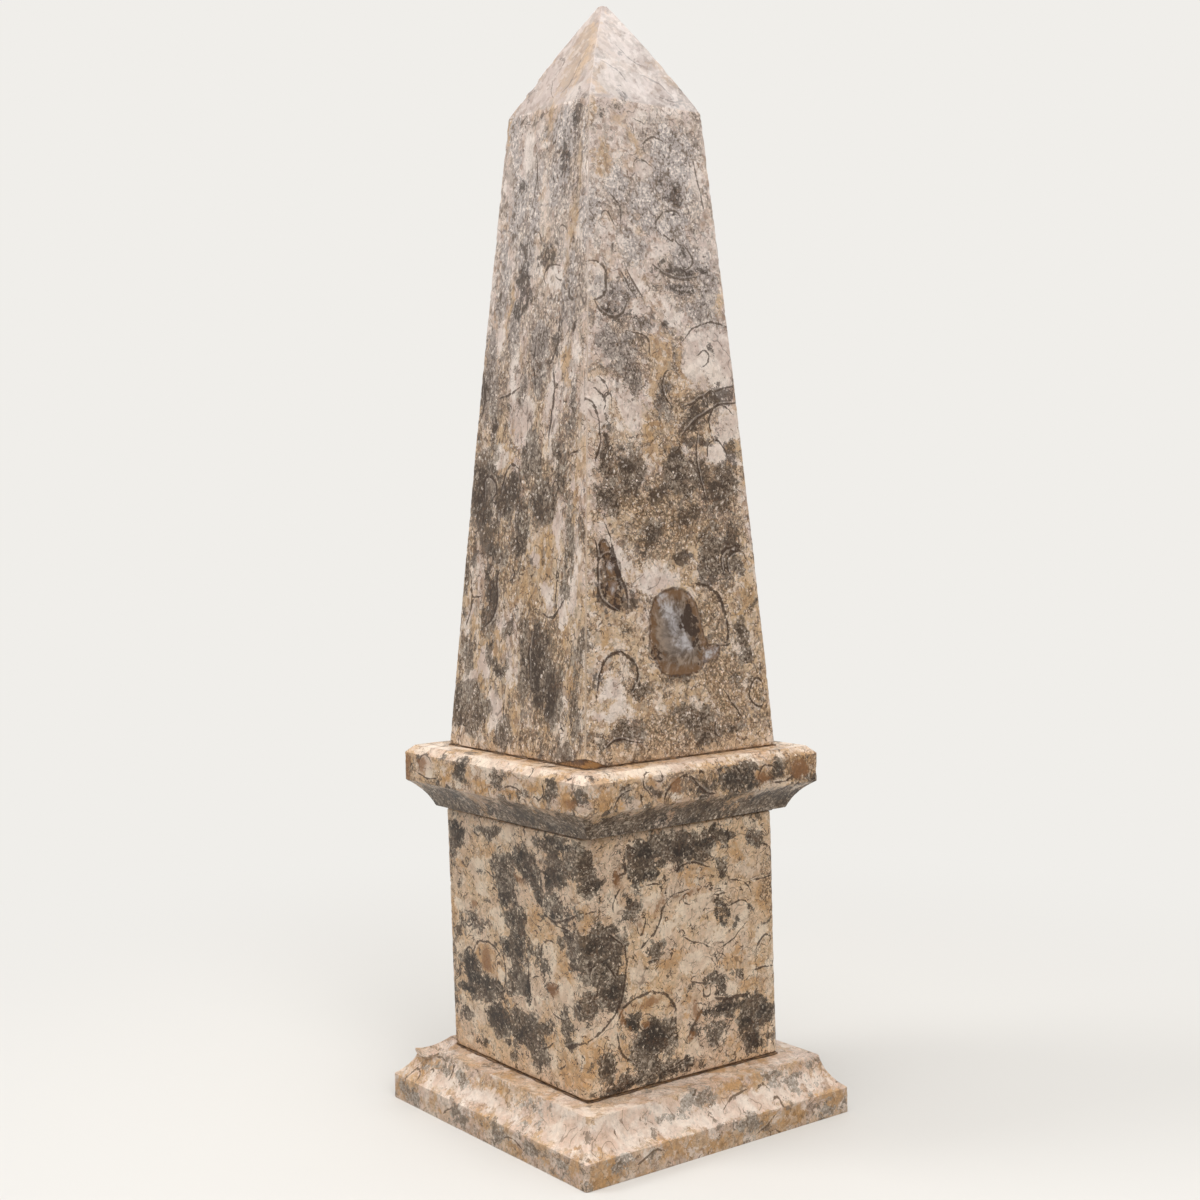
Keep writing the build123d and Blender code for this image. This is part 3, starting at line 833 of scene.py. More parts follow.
        "rings": [
            (0.5, (-11.3, 27.8, 2.0, 1.7, 30, 20, 330)), (0.4, (1.5, 52.7, 1, 1.3, 0, 40, 320)),
            (0.45, (23.3, 39.3, 2.1, 1.3, 35, -60, 185)), (0.5, (6.3, 31.5, 1.3, 1.4, 0, 160, 380)),
            (0.4, (-11.3, 48.8, 1, 1.9, -14, -160, 120)), (0.4, (16, 47, 3.2, 3.6, 0, 10, 160)),
        ],
    },
}
capMarks = {
    "right": {
        "tawny": [(28, 79, 2.4, 2), (17, 78, 1.6, 1.2), (-9, 79.4, 1, 1.4)],
        "gravel": [(24, 79, 9, 3.4), (-6, 79, 7, 2.8), (8, 79, 8, 3.4)],
        "dark": [
            (9, 79, 4, 1.6), (27.5, 78, 1.5, 1), (-9, 72, 3, 1.2), (18, 73.6, 2, 1), (0, 77.6, 3, 1.2),
            (20.6, 79, 2.2, 1.8), (-14, 78.6, 2, 1.2), (14.6, 77.2, 2.4, 1),
        ],
        "grey": [
            # the wide blotches low down fill the hollow under the cap: partly the stone's purple-grey, partly
            # painted shade under the overhang
            (-22, 70.4, 13, 4.6), (0, 70.6, 8, 4.8), (22, 70.4, 13, 4.8), (9, 79, 6, 3), (22, 81, 2, 1.5),
            (-22, 80, 2, 1.6), (14, 73, 4, 2), (-14, 72.6, 9, 2.6), (-26, 74, 4, 1.8), (2, 73, 9, 2.4),
            (20, 72.8, 9, 2.4), (30, 75.4, 3, 1),
        ],
        "ochre": [
            (28, 80, 5, 3), (17, 79, 3, 2.4), (-28, 79, 3, 2), (-2, 80, 2.6, 1.4), (-15, 81, 2, 1.2),
            (31, 76.6, 3, 2),
        ],
        "pale": [
            # the long blotch along the top bevel is partly the stone's pale cream, partly painted light on
            # the up-facing bevel
            (0, 83.4, 34, 1.1), (-20, 77, 3, 1.6), (-8, 77.6, 2, 1.2), (4, 80.6, 2, 1), (26, 73, 4, 1.6),
            (-4, 73, 3, 1.2), (14, 81, 2, 1),
        ],
        "seams": [
            (0.5, [(-12, 76), (-11.4, 78), (-10, 80), (-6, 81.5)]),
            (0.5, [(-5, 81), (-3, 79), (-1, 77.5), (2, 76.5)]), (0.5, [(-18.5, 78.5), (-18, 76.5)]),
            (0.4, [(20, 77), (24, 76.6), (26, 78)]), (0.4, [(-26, 77), (-24, 79.4), (-21, 80)]),
        ],
        "rings": [(0.4, (18, 79.2, 2.6, 1.8, 0, 0, 250))],
    },
    "front": {
        "tawny": [(-31.4, 79, 1.8, 2.4), (-26, 79.4, 1.2, 1.8), (29, 77.4, 1.6, 1)],
        "dark": [(32, 79, 2, 1.6), (-10.5, 80, 1.4, 1.8), (8, 72.6, 3, 1)],
        "grey": [
            # the wide blotches low down fill the hollow under the cap: partly the stone's purple-grey, partly
            # painted shade under the overhang
            (-20, 70.4, 13, 4.6), (3, 70.6, 7, 4.8), (24, 70.6, 12, 4.8), (-10.5, 80, 2.5, 3),
            (22.5, 80, 3, 3), (3, 80, 2.5, 2), (-20, 73, 10, 2.6), (6, 72.8, 11, 2.6), (24, 73.2, 7, 2.2),
            (13, 78, 2, 1.4),
        ],
        "ochre": [
            (-31, 80.5, 2.5, 2), (-2, 78, 3, 1.6), (16, 80.6, 3, 1.3), (-16, 77.4, 2.4, 1.4),
            (28, 78, 2.6, 2.2), (8, 77, 2, 1),
        ],
        "pale": [
            # the long blotch along the top bevel is partly the stone's pale cream, partly painted light on
            # the up-facing bevel
            (0, 83.4, 34, 1.1), (-24, 79.5, 3, 2.5), (-5, 80, 2, 1.4), (10, 80, 2.4, 1.2), (-13, 73, 3, 1),
            (16, 73, 3, 1.2), (-17, 80.6, 1.8, 1),
        ],
        "seams": [
            (0.4, [(-28, 78), (-24, 77), (-20, 78)]), (0.4, [(5, 78), (8, 79.4), (12, 78.4)]),
            (0.45, [(18, 77), (20, 79), (19.6, 81.6)]),
        ],
        "rings": [(0.4, (-24, 79.5, 3.2, 2.4, 0, 20, 200))],
    },
}
baseMarks = {
    "right": {
        "dark": [(12, 2.4, 2.4, 0.7, -30), (34, 11.6, 2, 0.8), (27, 3.4, 1.6, 0.8)],
        "grey": [
            (17, 12, 2.5, 1.5), (24, 9.5, 4.5, 1.6), (-3, 11.5, 2.5, 1.5), (-12, 9, 4, 1.2), (6, 4, 3, 1.6),
            (-28, 4, 2, 1.4), (30, 2, 3, 1.6),
        ],
        "ochre": [
            (-26, 11.6, 9, 1.2), (12, 11.8, 8, 1), (20, 3, 4, 2.4), (-33, 3, 4, 2.8), (-14, 4, 4, 2),
            (-2, 2.4, 4, 2), (32, 4, 4, 2.4), (11, 4, 3, 1.6), (34, 10, 2, 1.4),
        ],
        "pale": [
            # the wide blotches along the cove are partly its pinkish-white stone, partly painted light on the
            # up-facing cove
            (-20, 9.6, 19, 3.6), (10, 8.2, 26, 2), (-20, 9.6, 6, 1.8), (-26, 11, 4, 1.2), (-8, 3, 2, 1),
            (26, 4.4, 2, 0.9),
        ],
        "seams": [
            (0.4, [(-24, 3), (-20, 4.4), (-17, 3.6)]), (0.4, [(2, 8), (6, 10), (10, 10.6)]),
            (0.45, [(9, 1.4), (12, 2.6), (15, 4.6)]),
        ],
    },
    "front": {
        "dark": [(-10, 3, 2.4, 1), (4, 2, 1.6, 0.8), (22, 3.6, 2, 0.8)],
        "grey": [
            (-14, 9.5, 3, 1.5), (-30, 3, 3, 2), (-10, 3, 4.4, 2), (6, 3, 3, 2), (18, 4, 4, 1.6),
            (14, 10, 4, 1.4), (28, 2.6, 3, 1.6), (-24, 10, 3, 1),
        ],
        "ochre": [
            (-27, 9.6, 9, 2), (-4, 10.6, 8, 1.4), (20, 9, 8, 1.6), (-33, 3, 3, 2.8), (-20, 3.4, 3, 2),
            (0, 4.4, 3, 1.2), (13, 2, 3, 1.6), (33, 4, 3, 2.4), (-34, 10, 3, 2.4), (24, 2, 2, 1),
        ],
        "pale": [
            # the wide blotches along the cove are partly its pinkish-white stone, partly painted light on the
            # up-facing cove
            (-8, 7.8, 26, 1.7), (27, 9.6, 12, 3.6), (24, 10, 5, 1.6), (-26, 4.6, 2, 1), (-4, 1.6, 2, 1),
            (-20, 9, 3, 1.2),
        ],
        "seams": [
            (0.5, [(-25, 12.2), (-22, 12)]), (0.4, [(-16, 2), (-13, 3.6), (-12, 5)]),
            (0.4, [(8, 3), (11, 3.8), (15, 3)]),
        ],
    },
}


def gritGroup():
    # crystalline grain: facets broken up by a fine cloud, and squiggles where a shell was cut across
    nodes = NodeGroup("crystalGrit", {"Vector": "Vector", "Facets Per mm": 2.3},
                      {"Cloud": "Float", "Crack": "Float", "Grain": "Float"})
    place = nodes.get["Vector"]
    cloud, tint = nodes.noise(place, 1.1, 3, 0.7)
    centred = nodes.timesPlus(cloud, 3.2, -1.6)
    wide = nodes.channels(nodes.noise(nodes.shift(place, (9.0, 4.0, 17.0)), 0.55, 0.6, 0.5, 0.2)[1])
    first = nodes.unsigned(nodes.minus(wide[0], 0.5))
    second = nodes.unsigned(nodes.minus(wide[2], 0.46))
    broken = nodes.step(nodes.timesPlus(wide[1], 0.5, cloud), 0.76, 0.82)
    crack = nodes.times(nodes.step(nodes.smallest(first, second), 0.032, 0.01), broken)
    nudge = nodes.scale(nodes.vector("SUBTRACT", tint, (0.5, 0.5, 0.5)), 0.8)
    shade = nodes.channels(nodes.cells(nodes.shift(place, nudge), nodes.get["Facets Per mm"])["Color"])
    grain = nodes.timesPlus(centred, 0.5, nodes.timesPlus(shade[0], 0.7, -0.35))
    return nodes.give({"Cloud": centred, "Crack": crack, "Grain": grain})


def lineGroup():
    # a shell's edge: a line whose width wavers, with a paler rind on one side
    nodes = NodeGroup("shellLine", {"Value": 9.0, "Near": 0.0, "Waver": 0.0, "Grit": 0.0, "Break": 0.5},
                      {"Mask": "Float", "Rind": "Float"})
    get = nodes.get
    waved = nodes.timesPlus(get["Waver"], 1.1, get["Value"])
    thin = nodes.timesPlus(get["Grit"], 0.8, nodes.unsigned(waved))
    thin = nodes.timesPlus(nodes.minus(get["Break"], 0.45), 1.3, thin)
    close = nodes.step(get["Near"], 0.42, 0.62)
    mask = nodes.step(thin, 1.3, 0.8)
    rind = nodes.times(nodes.step(waved, 1.0, 1.8), nodes.step(waved, 3.6, 2.2))
    return nodes.give({"Mask": nodes.times(mask, close), "Rind": nodes.times(rind, close)})


def zoneGroup():
    # turns mm inside a blotch into a mask with a ragged border that follows the shell pieces
    nodes = NodeGroup("raggedZone", {
        "Inside mm": -3.0, "Waver": 0.0, "Piece": 0.5, "Grain": 0.0,
        "Ragged mm": 3.0, "Pieced mm": 1.6, "Broken mm": 0.6, "Soft mm": 0.2,
    }, {"Mask": "Float"})
    get = nodes.get
    level = nodes.timesPlus(get["Waver"], get["Ragged mm"], get["Inside mm"])
    level = nodes.timesPlus(nodes.minus(get["Piece"], 0.5), get["Pieced mm"], level)
    level = nodes.timesPlus(get["Grain"], get["Broken mm"], level)
    return nodes.give({"Mask": nodes.step(level, nodes.times(get["Soft mm"], -1.0), get["Soft mm"])})


def hashGroup():
    # the ground mass: soft patches, large and small shell pieces, and hair-thin shell edges
    given = ("Patch", "Coarse", "Waver", "Piece", "Kind", "Crumb", "Matrix", "Rim", "Hair")
    nodes = NodeGroup("shellHash", {"Vector": "Vector", "Pieces Per mm": 0.34, "Crumbs Per mm": 1.0},
                      dict.fromkeys(given, "Float"))
    place, pieceScale, crumbScale = (nodes.get[i] for i in range(3))
    patch = nodes.noise(place, 0.085, 3, 0.6, 0.4)[0]
    coarse = nodes.noise(nodes.shift(place, (31.0, 7.0, 13.0)), 0.16, 4, 0.6, 0.8)[0]
    waver, tint = nodes.noise(place, 0.4, 6, 0.7)
    drift = nodes.vector("SUBTRACT", tint, (0.5, 0.5, 0.5))
    warped = nodes.shift(place, nodes.scale(drift, 8.0))
    shade = nodes.channels(nodes.cells(warped, pieceScale)["Color"])
    border = nodes.cells(warped, pieceScale, feature="DISTANCE_TO_EDGE")["Distance"]
    rim = nodes.times(nodes.step(border, 0.055, 0.02), nodes.step(shade[2], 0.62, 0.66))
    crumbled = nodes.shift(place, nodes.scale(drift, 2.5))
    crumb = nodes.channels(nodes.cells(crumbled, crumbScale)["Color"])[0]
    between = nodes.cells(crumbled, crumbScale, feature="DISTANCE_TO_EDGE")["Distance"]
    contour = nodes.noise(nodes.shift(place, (3.0, 51.0, 23.0)), 0.2, 1.5, 0.5, 0.2)[0]
    offLine = nodes.unsigned(nodes.minus(contour, 0.5))
    hair = nodes.times(nodes.step(offLine, 0.016, 0.006), nodes.step(coarse, 0.5, 0.55))
    return nodes.give({
        "Patch": patch, "Coarse": coarse, "Waver": nodes.timesPlus(waver, 2.0, -1.0), "Piece": shade[0],
        "Kind": shade[1], "Crumb": crumb, "Matrix": nodes.step(between, 0.14, 0.05), "Rim": rim, "Hair": hair,
    })


def stoneGroup(grit, line, zone, shellHash):
    # the whole polished shell limestone; each stone gives it its own tones and grain
    tones = ("Ground", "Blush", "Ochre", "Pale", "Grey", "Ash", "Haze", "Dark", "Line", "Umber", "Olive")
    nodes = NodeGroup("shellLimestone", {
        "Offset": "Vector", "Agate Heart": (24.0, 3.4, 107.6), "Streak And Shade": 1.0, **dict.fromkeys(tones, "Color"),
        "Pepper": 0.6, "Salt": 0.4, "Broken": 1.2, "Crumble": 0.5, "Squiggles": 0.5,
        "Grey Patches": 0.5, "Ochre Patches": 0.5, "Gravel Patches": 0.5,
        "Blush Level": 150.0, "Blush Rise": 0.0, "Fade": 0.0,
    }, {"Color": "Color", "Roughness": "Float", "Height": "Float"})
    get, mix, step, minus = nodes.get, nodes.mix, nodes.step, nodes.minus
    times, timesPlus, largest = nodes.times, nodes.timesPlus, nodes.largest

    def painted(name):
        return nodes.add("ShaderNodeAttribute", attribute_name=name).outputs["Fac"]

    def part(factor, amount):
        return times(factor, amount, clamp=True)

    placeMm = nodes.scale(nodes.add("ShaderNodeTexCoord").outputs["Object"], 1000.0)
    across, level = nodes.shift(placeMm, get["Offset"]), nodes.split(placeMm)[2]
    frontStreakAndShade = times(painted("streakAndShade"), get["Streak And Shade"])

    def stretched(plain, streaky):
        upright = nodes.mixValue(frontStreakAndShade, plain, streaky)
        return nodes.vector("MULTIPLY", across, nodes.join(1.0, 1.0, upright))

    ground = nodes.use(shellHash, {"Vector": stretched(1.0, 0.55)})
    fine = nodes.use(grit, {"Vector": stretched(0.95, 0.75)})
    patch, coarse, waver, piece, kind, crumb, matrix = (ground[i] for i in range(7))
    cloud, crack, grain = (fine[i] for i in range(3))
    calm = painted("calm")
    lively = minus(1.0, calm)
    still = nodes.plus(calm, step(painted("pale"), -1.2, 0.3))

    def zoneMask(inside, piece, ragged, pieced, broken, soft):
        return nodes.use(zone, {
            "Inside mm": inside, "Waver": waver, "Piece": piece, "Grain": grain,
            "Ragged mm": ragged, "Pieced mm": pieced, "Broken mm": broken, "Soft mm": soft,
        })[0]

    def withPatches(name, share, low, high):
        # a painted layer joined by chance patches; a share of 1 covers about half of the stone
        chance = minus(times(minus(high, coarse), 24.0), times(minus(1.0, share), low))
        return largest(painted(name), minus(chance, times(still, 6.0)))

    # the light ground: cream and blush, with ochre, pale shells, crumbs and specks
    above = minus(level, get["Blush Level"])
    fade = part(step(above, -10.0, 60.0), get["Fade"])
    blush = timesPlus(above, get["Blush Rise"], patch)
    base = mix(step(blush, 0.4, 0.6), get["Ground"], get["Blush"])
    base = mix(part(step(piece, 0.7, 0.78), 0.55), base, get["Pale"])
    base = mix(part(step(piece, 0.24, 0.16), 0.32), base, get["Ochre"])
    ochreCloud = step(timesPlus(waver, 0.25, coarse), 0.52, 0.66)
    base = mix(times(ochreCloud, get["Ochre Patches"]), base, get["Ochre"])
    base = mix(part(zoneMask(painted("ochre"), kind, 4.0, 2.0, 1.0, 0.6), 0.8), base, get["Ochre"])
    pale = zoneMask(painted("pale"), piece, 2.6, 1.2, 0.5, 0.3)
    base = mix(part(pale, 0.86), base, mix(step(coarse, 0.4, 0.62), get["Pale"], get["Blush"]))
    crumbs = part(get["Crumble"], minus(1.0, part(pale, 0.6)))
    base = mix(times(step(crumb, 0.2, 0.14), crumbs), base, get["Umber"])
    base = mix(times(step(crumb, 0.78, 0.86), crumbs), base, get["Pale"])
    middling = times(step(crumb, 0.4, 0.42), step(crumb, 0.52, 0.5))
    base = mix(times(middling, crumbs), base, get["Ash"])
    speck = step(timesPlus(waver, 0.5, grain), -0.42, -0.62)
    base = mix(part(speck, times(get["Pepper"], lively)), base, get["Umber"])
    base = mix(part(step(grain, 0.34, 0.6), get["Salt"]), base, get["Pale"])

    # high on the shaft the grey zones are a mix of grey and whitish grains
    greyGrain = timesPlus(minus(piece, 0.5), 0.4, timesPlus(waver, 0.7, grain))
    hazeTone = mix(step(greyGrain, -0.45, -0.1), get["Grey"], get["Haze"])
    hazeTone = mix(part(step(greyGrain, 0.08, 0.4), 0.7), hazeTone, get["Pale"])

    # gravelly zones: dark olive, tan and pale grains side by side
    gravel = zoneMask(withPatches("gravel", get["Gravel Patches"], 5.0, 0.54), kind, 4.6, 3.0, 1.4, 0.25)
    gravelTone = mix(step(grain, -0.34, -0.06), get["Olive"], get["Umber"])
    gravelTone = mix(step(grain, -0.04, 0.14), gravelTone, get["Ground"])
    gravelTone = mix(step(grain, 0.26, 0.5), gravelTone, get["Pale"])
    gravelTone = mix(part(matrix, 0.55), gravelTone, get["Olive"])
    base = mix(part(gravel, 0.8), base, mix(part(fade, 0.5), gravelTone, hazeTone))

    grey = zoneMask(withPatches("grey", get["Grey Patches"], 5.0, 0.46), kind, 3.6, 2.2, get["Broken"], 0.15)
    greyTone = mix(step(greyGrain, -0.3, 0.0), get["Dark"], get["Grey"])
    greyTone = mix(step(greyGrain, 0.1, 0.36), greyTone, get["Ash"])
    greyTone = mix(step(grain, 0.34, 0.5), greyTone, get["Pale"])
    greyTone = mix(part(matrix, 0.35), greyTone, get["Dark"])
    base = mix(part(grey, 0.9), base, mix(fade, greyTone, hazeTone))

    # the agate: brown quartz with fibres that run out from its heart, and a grey gleam
    depth = painted("agate")
    spoke = nodes.vector("SUBTRACT", placeMm, get["Agate Heart"])
    fan = nodes.shift(nodes.scale(nodes.vector("NORMALIZE", spoke), 1.3), nodes.scale(spoke, 0.3))
    fibre = timesPlus(waver, 0.22, nodes.noise(fan, 1.0, 5, 0.7, 0.7)[0])
    layered = timesPlus(minus(fibre, 0.5), 9.0, depth)
    gem = mix(step(fibre, 0.36, 0.62), srgb(84, 66, 52), srgb(148, 128, 110))
    gem = mix(part(step(layered, 2.6, 0.4), 0.7), gem, srgb(126, 90, 56))
    gem = mix(part(step(depth, 2.4, 4.6), 0.45), gem, srgb(132, 120, 112))
    gleam = zoneMask(painted("gleam"), fibre, 3.4, 3.4, 0.3, 1.4)
    gem = mix(part(gleam, step(fibre, 0.36, 0.66, 0.35, 0.75)), gem, srgb(204, 200, 202))
    agate = zoneMask(depth, crumb, 1.3, 0.7, 0.4, 0.2)
    base = mix(agate, base, gem)
    agateEdge = step(nodes.unsigned(timesPlus(waver, 0.4, depth)), 0.35, 0.1)
    base = mix(part(agateEdge, 0.6), base, get["Line"])
    dark = zoneMask(painted("dark"), crumb, 3.0, 1.6, 1.0, 0.15)
    base = mix(part(dark, nodes.mixValue(step(grain, 0.15, 0.5), 0.82, 0.3)), base, get["Dark"])
    # dark blotches inside the agate go darker still: the chain's dark outlines, and the painted shade in the
    # agate's small hollow
    base = mix(part(times(dark, agate), 0.8), base, get["Line"])

    # cracks and grain show least in the smooth pale shells and the agate
    smooth = largest(part(largest(pale, calm), 0.6), agate)
    rough = minus(1.0, smooth, clamp=True)
    crack = times(crack, rough)
    squiggles = times(get["Squiggles"], nodes.mixValue(fade, 1.0, 0.5))
    base = mix(part(crack, squiggles), base, get["Line"])
    base = mix(part(times(ground["Rim"], rough), 0.5), base, get["Umber"])

    # shell edges, and their pale rinds
    edges = [nodes.use(line, {
        "Value": painted(name), "Near": painted(name + "Near"), "Waver": waver, "Grit": cloud, "Break": crumb,
    }) for name in ("seam", "ring")]
    lines = largest(*(edge["Mask"] for edge in edges))
    rinds = largest(*(edge["Rind"] for edge in edges))
    base = mix(part(rinds, 0.2), base, get["Pale"])
    base = mix(part(lines, 0.85), base, mix(part(fade, 0.55), get["Line"], get["Grey"]))
    base = mix(part(times(ground["Hair"], lively), 0.5), base, get["Line"])

    # light and dark grain over everything, then the calm point, its front and back faces painted darker
    # (partly the stone's pinker tone, partly painted shade of those sides), and the stains
    tone = nodes.plus(timesPlus(waver, 0.28, 1.0), times(grain, times(rough, 0.34)))
    bright = nodes.add("ShaderNodeCombineColor", {0: tone, 1: tone, 2: tone}).outputs[0]
    base = mix(1.0, base, bright, "MULTIPLY")
    calmTone = mix(step(coarse, 0.42, 0.56), srgb(154, 145, 142), srgb(205, 197, 194))
    # painted shade: the point's front and back faces are darkened, partly for the stone's pinker tone there
    calmTone = mix(part(frontStreakAndShade, 0.85), calmTone, srgb(146, 129, 120))
    base = mix(part(calm, 0.52), base, calmTone)
    tawny = zoneMask(painted("tawny"), crumb, 2.0, 0.8, 0.5, 0.5)
    higher = largest(calm, fade)
    tawnyTone = mix(higher, srgb(140, 94, 54), srgb(196, 160, 118))
    tawnyTone = mix(part(step(grain, -0.1, -0.4), 0.5), tawnyTone, get["Umber"])
    base = mix(times(tawny, nodes.mixValue(higher, 0.75, 0.5)), base, tawnyTone)
    washed = nodes.add("ShaderNodeHueSaturation", {"Color": base, "Saturation": 0.86, "Value": 1.03})
    base = mix(fade, base, washed.outputs[0])
    wear = painted("wear")
    base = mix(part(times(wear, lively), 0.4), base, get["Pale"])

    roughness = timesPlus(waver, 0.15, nodes.mixValue(grey, 0.3, 0.4))
    roughness = nodes.mixValue(largest(wear, part(calm, 0.6)), roughness, 0.6)
    height = timesPlus(waver, 0.3, timesPlus(lines, -0.5, times(crack, -0.6)))
    return nodes.give({"Color": base, "Roughness": nodes.mixValue(agate, roughness, 0.16), "Height": height})


# the look that the four stones share; each stone's own look changes some of it
stoneLook = {
    "Ground": srgb(214, 184, 150), "Blush": srgb(212, 186, 166), "Ochre": srgb(192, 150, 100),
    "Pale": srgb(232, 214, 194), "Grey": srgb(116, 100, 84), "Ash": srgb(164, 151, 136),
    "Haze": srgb(176, 163, 154), "Dark": srgb(60, 48, 38), "Line": srgb(58, 38, 24),
    "Umber": srgb(138, 104, 76), "Olive": srgb(88, 74, 56),
    "Pepper": 0.5, "Salt": 0.3, "Broken": 0.5, "Crumble": 0.3, "Squiggles": 0.6,
    "Grey Patches": 0.0, "Ochre Patches": 0.4, "Gravel Patches": 0.0, "Streak And Shade": 1.0,
}


def newMaterial(name):
    material = bpy.data.materials.new(name)
    material.use_nodes = True
    return material, NodeTree(material.node_tree), material.node_tree.nodes["Principled BSDF"]


def coat(nodes, shader, colour, roughness, height, strength, depthMm):
    # the three things that change over a surface, with the relief as a bump
    bump = nodes.add("ShaderNodeBump", {"Strength": strength, "Distance": depthMm * mm, "Height": height})
    nodes.plug(colour, shader.inputs["Base Color"])
    nodes.plug(roughness, shader.inputs["Roughness"])
    nodes.plug(bump.outputs["Normal"], shader.inputs["Normal"])


def stoneMaterial(name, group, look):
    material, nodes, shader = newMaterial(name)
    stone = nodes.use(group, {**stoneLook, **look})
    coat(nodes, shader, stone["Color"], stone["Roughness"], stone["Height"], 0.25, 0.1)
    shader.inputs["IOR"].default_value = 1.5
    shader.inputs["Specular IOR Level"].default_value = 0.3
    return material


limestone = stoneGroup(gritGroup(), lineGroup(), zoneGroup(), hashGroup())
print("stone shader ready, nodes", len(limestone.nodes))

# lengths in mm and angles in degrees; a scoop is (centre in the stone's own frame, radius)
baseStone = {
    "widthX": 75.2, "widthY": 75.2, "cornerRadius": 0.6, "foot": 0.0, "shift": (0, 0), "turn": 0.0,
    "columns": 118, "rowSpacing": 0.42, "seed": 3, "arrisWear": 0.2, "sharpAngle": 9, "smallChips": 5,
    "edgeHeight": 5.7, "coveHeight": 7.3, "coveReach": 4.6, "coveHollow": 0.9, "edgeLevels": [5.7, 13.0],
    "scoops": [((-29.9, -29.9, 16.1), 7.0)], "marks": baseMarks,
    "look": {
        "Offset": (11.0, 3.0, 5.0), "Ground": srgb(208, 178, 147), "Blush": srgb(214, 187, 168),
        "Ochre": srgb(188, 145, 95), "Pale": srgb(231, 215, 200), "Grey": srgb(157, 146, 134),
        "Dark": srgb(116, 99, 82), "Ash": srgb(182, 171, 159), "Line": srgb(98, 76, 56),
        "Squiggles": 0.4, "Grey Patches": 0.35, "Ochre Patches": 0.7, "Gravel Patches": 0.2,
    },
}
pedestalStone = {
    "widthX": 52.7, "widthY": 54.5, "cornerRadius": 1.4, "foot": 13.6, "shift": (-0.2, -0.6), "turn": -0.8,
    "columns": 106, "rowSpacing": 0.5, "seed": 5, "arrisWear": 0.4, "smallChips": 10,
    "lean": (-0.4, -1.1), "height": 55.6, "edgeLevels": [0.0, 55.6],
    "scoops": [
        ((28.2, -21, 1.0), 2.3), ((28.4, -15.5, 0.6), 2.5), ((28.1, -10, 1.2), 2.2), ((28.4, -4.5, 0.6), 2.4),
        ((28.2, 1.5, 0.4), 2.1),
    ],
    "marks": pedestalMarks,
    "look": {
        "Offset": (40.0, 21.0, 9.0), "Ground": srgb(220, 188, 152), "Blush": srgb(220, 192, 166),
        "Ochre": srgb(198, 154, 106), "Pale": srgb(238, 218, 194), "Grey": srgb(98, 83, 69),
        "Dark": srgb(36, 26, 18), "Ash": srgb(160, 147, 131),
        "Crumble": 0.25, "Squiggles": 0.9, "Ochre Patches": 0.1, "Salt": 0.4,
    },
}
capStone = {
    "widthX": 66.9, "widthY": 68.1, "cornerRadius": 0.6, "foot": 69.7, "shift": (-0.9, -0.8), "turn": 1.4,
    "columns": 112, "rowSpacing": 0.42, "seed": 8, "arrisWear": 0.2, "sharpAngle": 9, "smallChips": 8,
    "coveHeight": 6.0, "coveReach": 4.95, "coveHollow": 0.65, "edgeHeight": 6.5, "bevel": 1.6,
    "edgeLevels": [6.0, 12.5], "marks": capMarks,
    "look": {
        "Offset": (5.0, 60.0, 33.0), "Ground": srgb(208, 174, 136), "Ochre": srgb(188, 142, 88),
        "Dark": srgb(50, 40, 31), "Pepper": 0.8,
        "Grey Patches": 0.4, "Ochre Patches": 0.6, "Gravel Patches": 0.6,
    },
}
shaftStone = {
    "widthX": 52.2, "widthY": 54.7, "cornerRadius": 1.1, "foot": 84.1, "shift": (-0.4, -0.5), "turn": 0.5,
    "columns": 78, "rowSpacing": 0.68, "seed": 12, "arrisWear": 0.4, "smallChips": 16,
    "height": 141.75, "shoulderX": 29.9, "shoulderY": 31.4, "swell": 0.3, "topRadius": 0.15,
    "pointHeight": 24.15, "pointSwell": 0.3, "tip": 1.2, "breakSize": (11.6, 6.0, 2.3),
    "scoops": [((-11.6, -12.1, 149.8), 2.0), ((-13.0, -13.6, 146.6), 1.4)], "edgeLevels": [0.0, 141.75],
    "frontStreakAndShade": True, "calmAbove": 141.8, "marks": shaftMarks,
    "look": {
        "Offset": (71.0, 14.0, 2.0), "Ground": srgb(210, 182, 151), "Blush": srgb(211, 189, 177),
        "Ochre": srgb(190, 153, 109), "Grey": srgb(126, 109, 93), "Dark": srgb(62, 47, 35),
        "Pale": srgb(237, 222, 210), "Haze": srgb(182, 169, 163),
        "Broken": 1.1, "Pepper": 0.85, "Salt": 0.55, "Crumble": 0.5, "Squiggles": 0.8,
        "Grey Patches": 0.4, "Ochre Patches": 0.35, "Gravel Patches": 0.5,
        "Blush Level": 150.0, "Blush Rise": 0.003, "Fade": 1.0,
    },
}

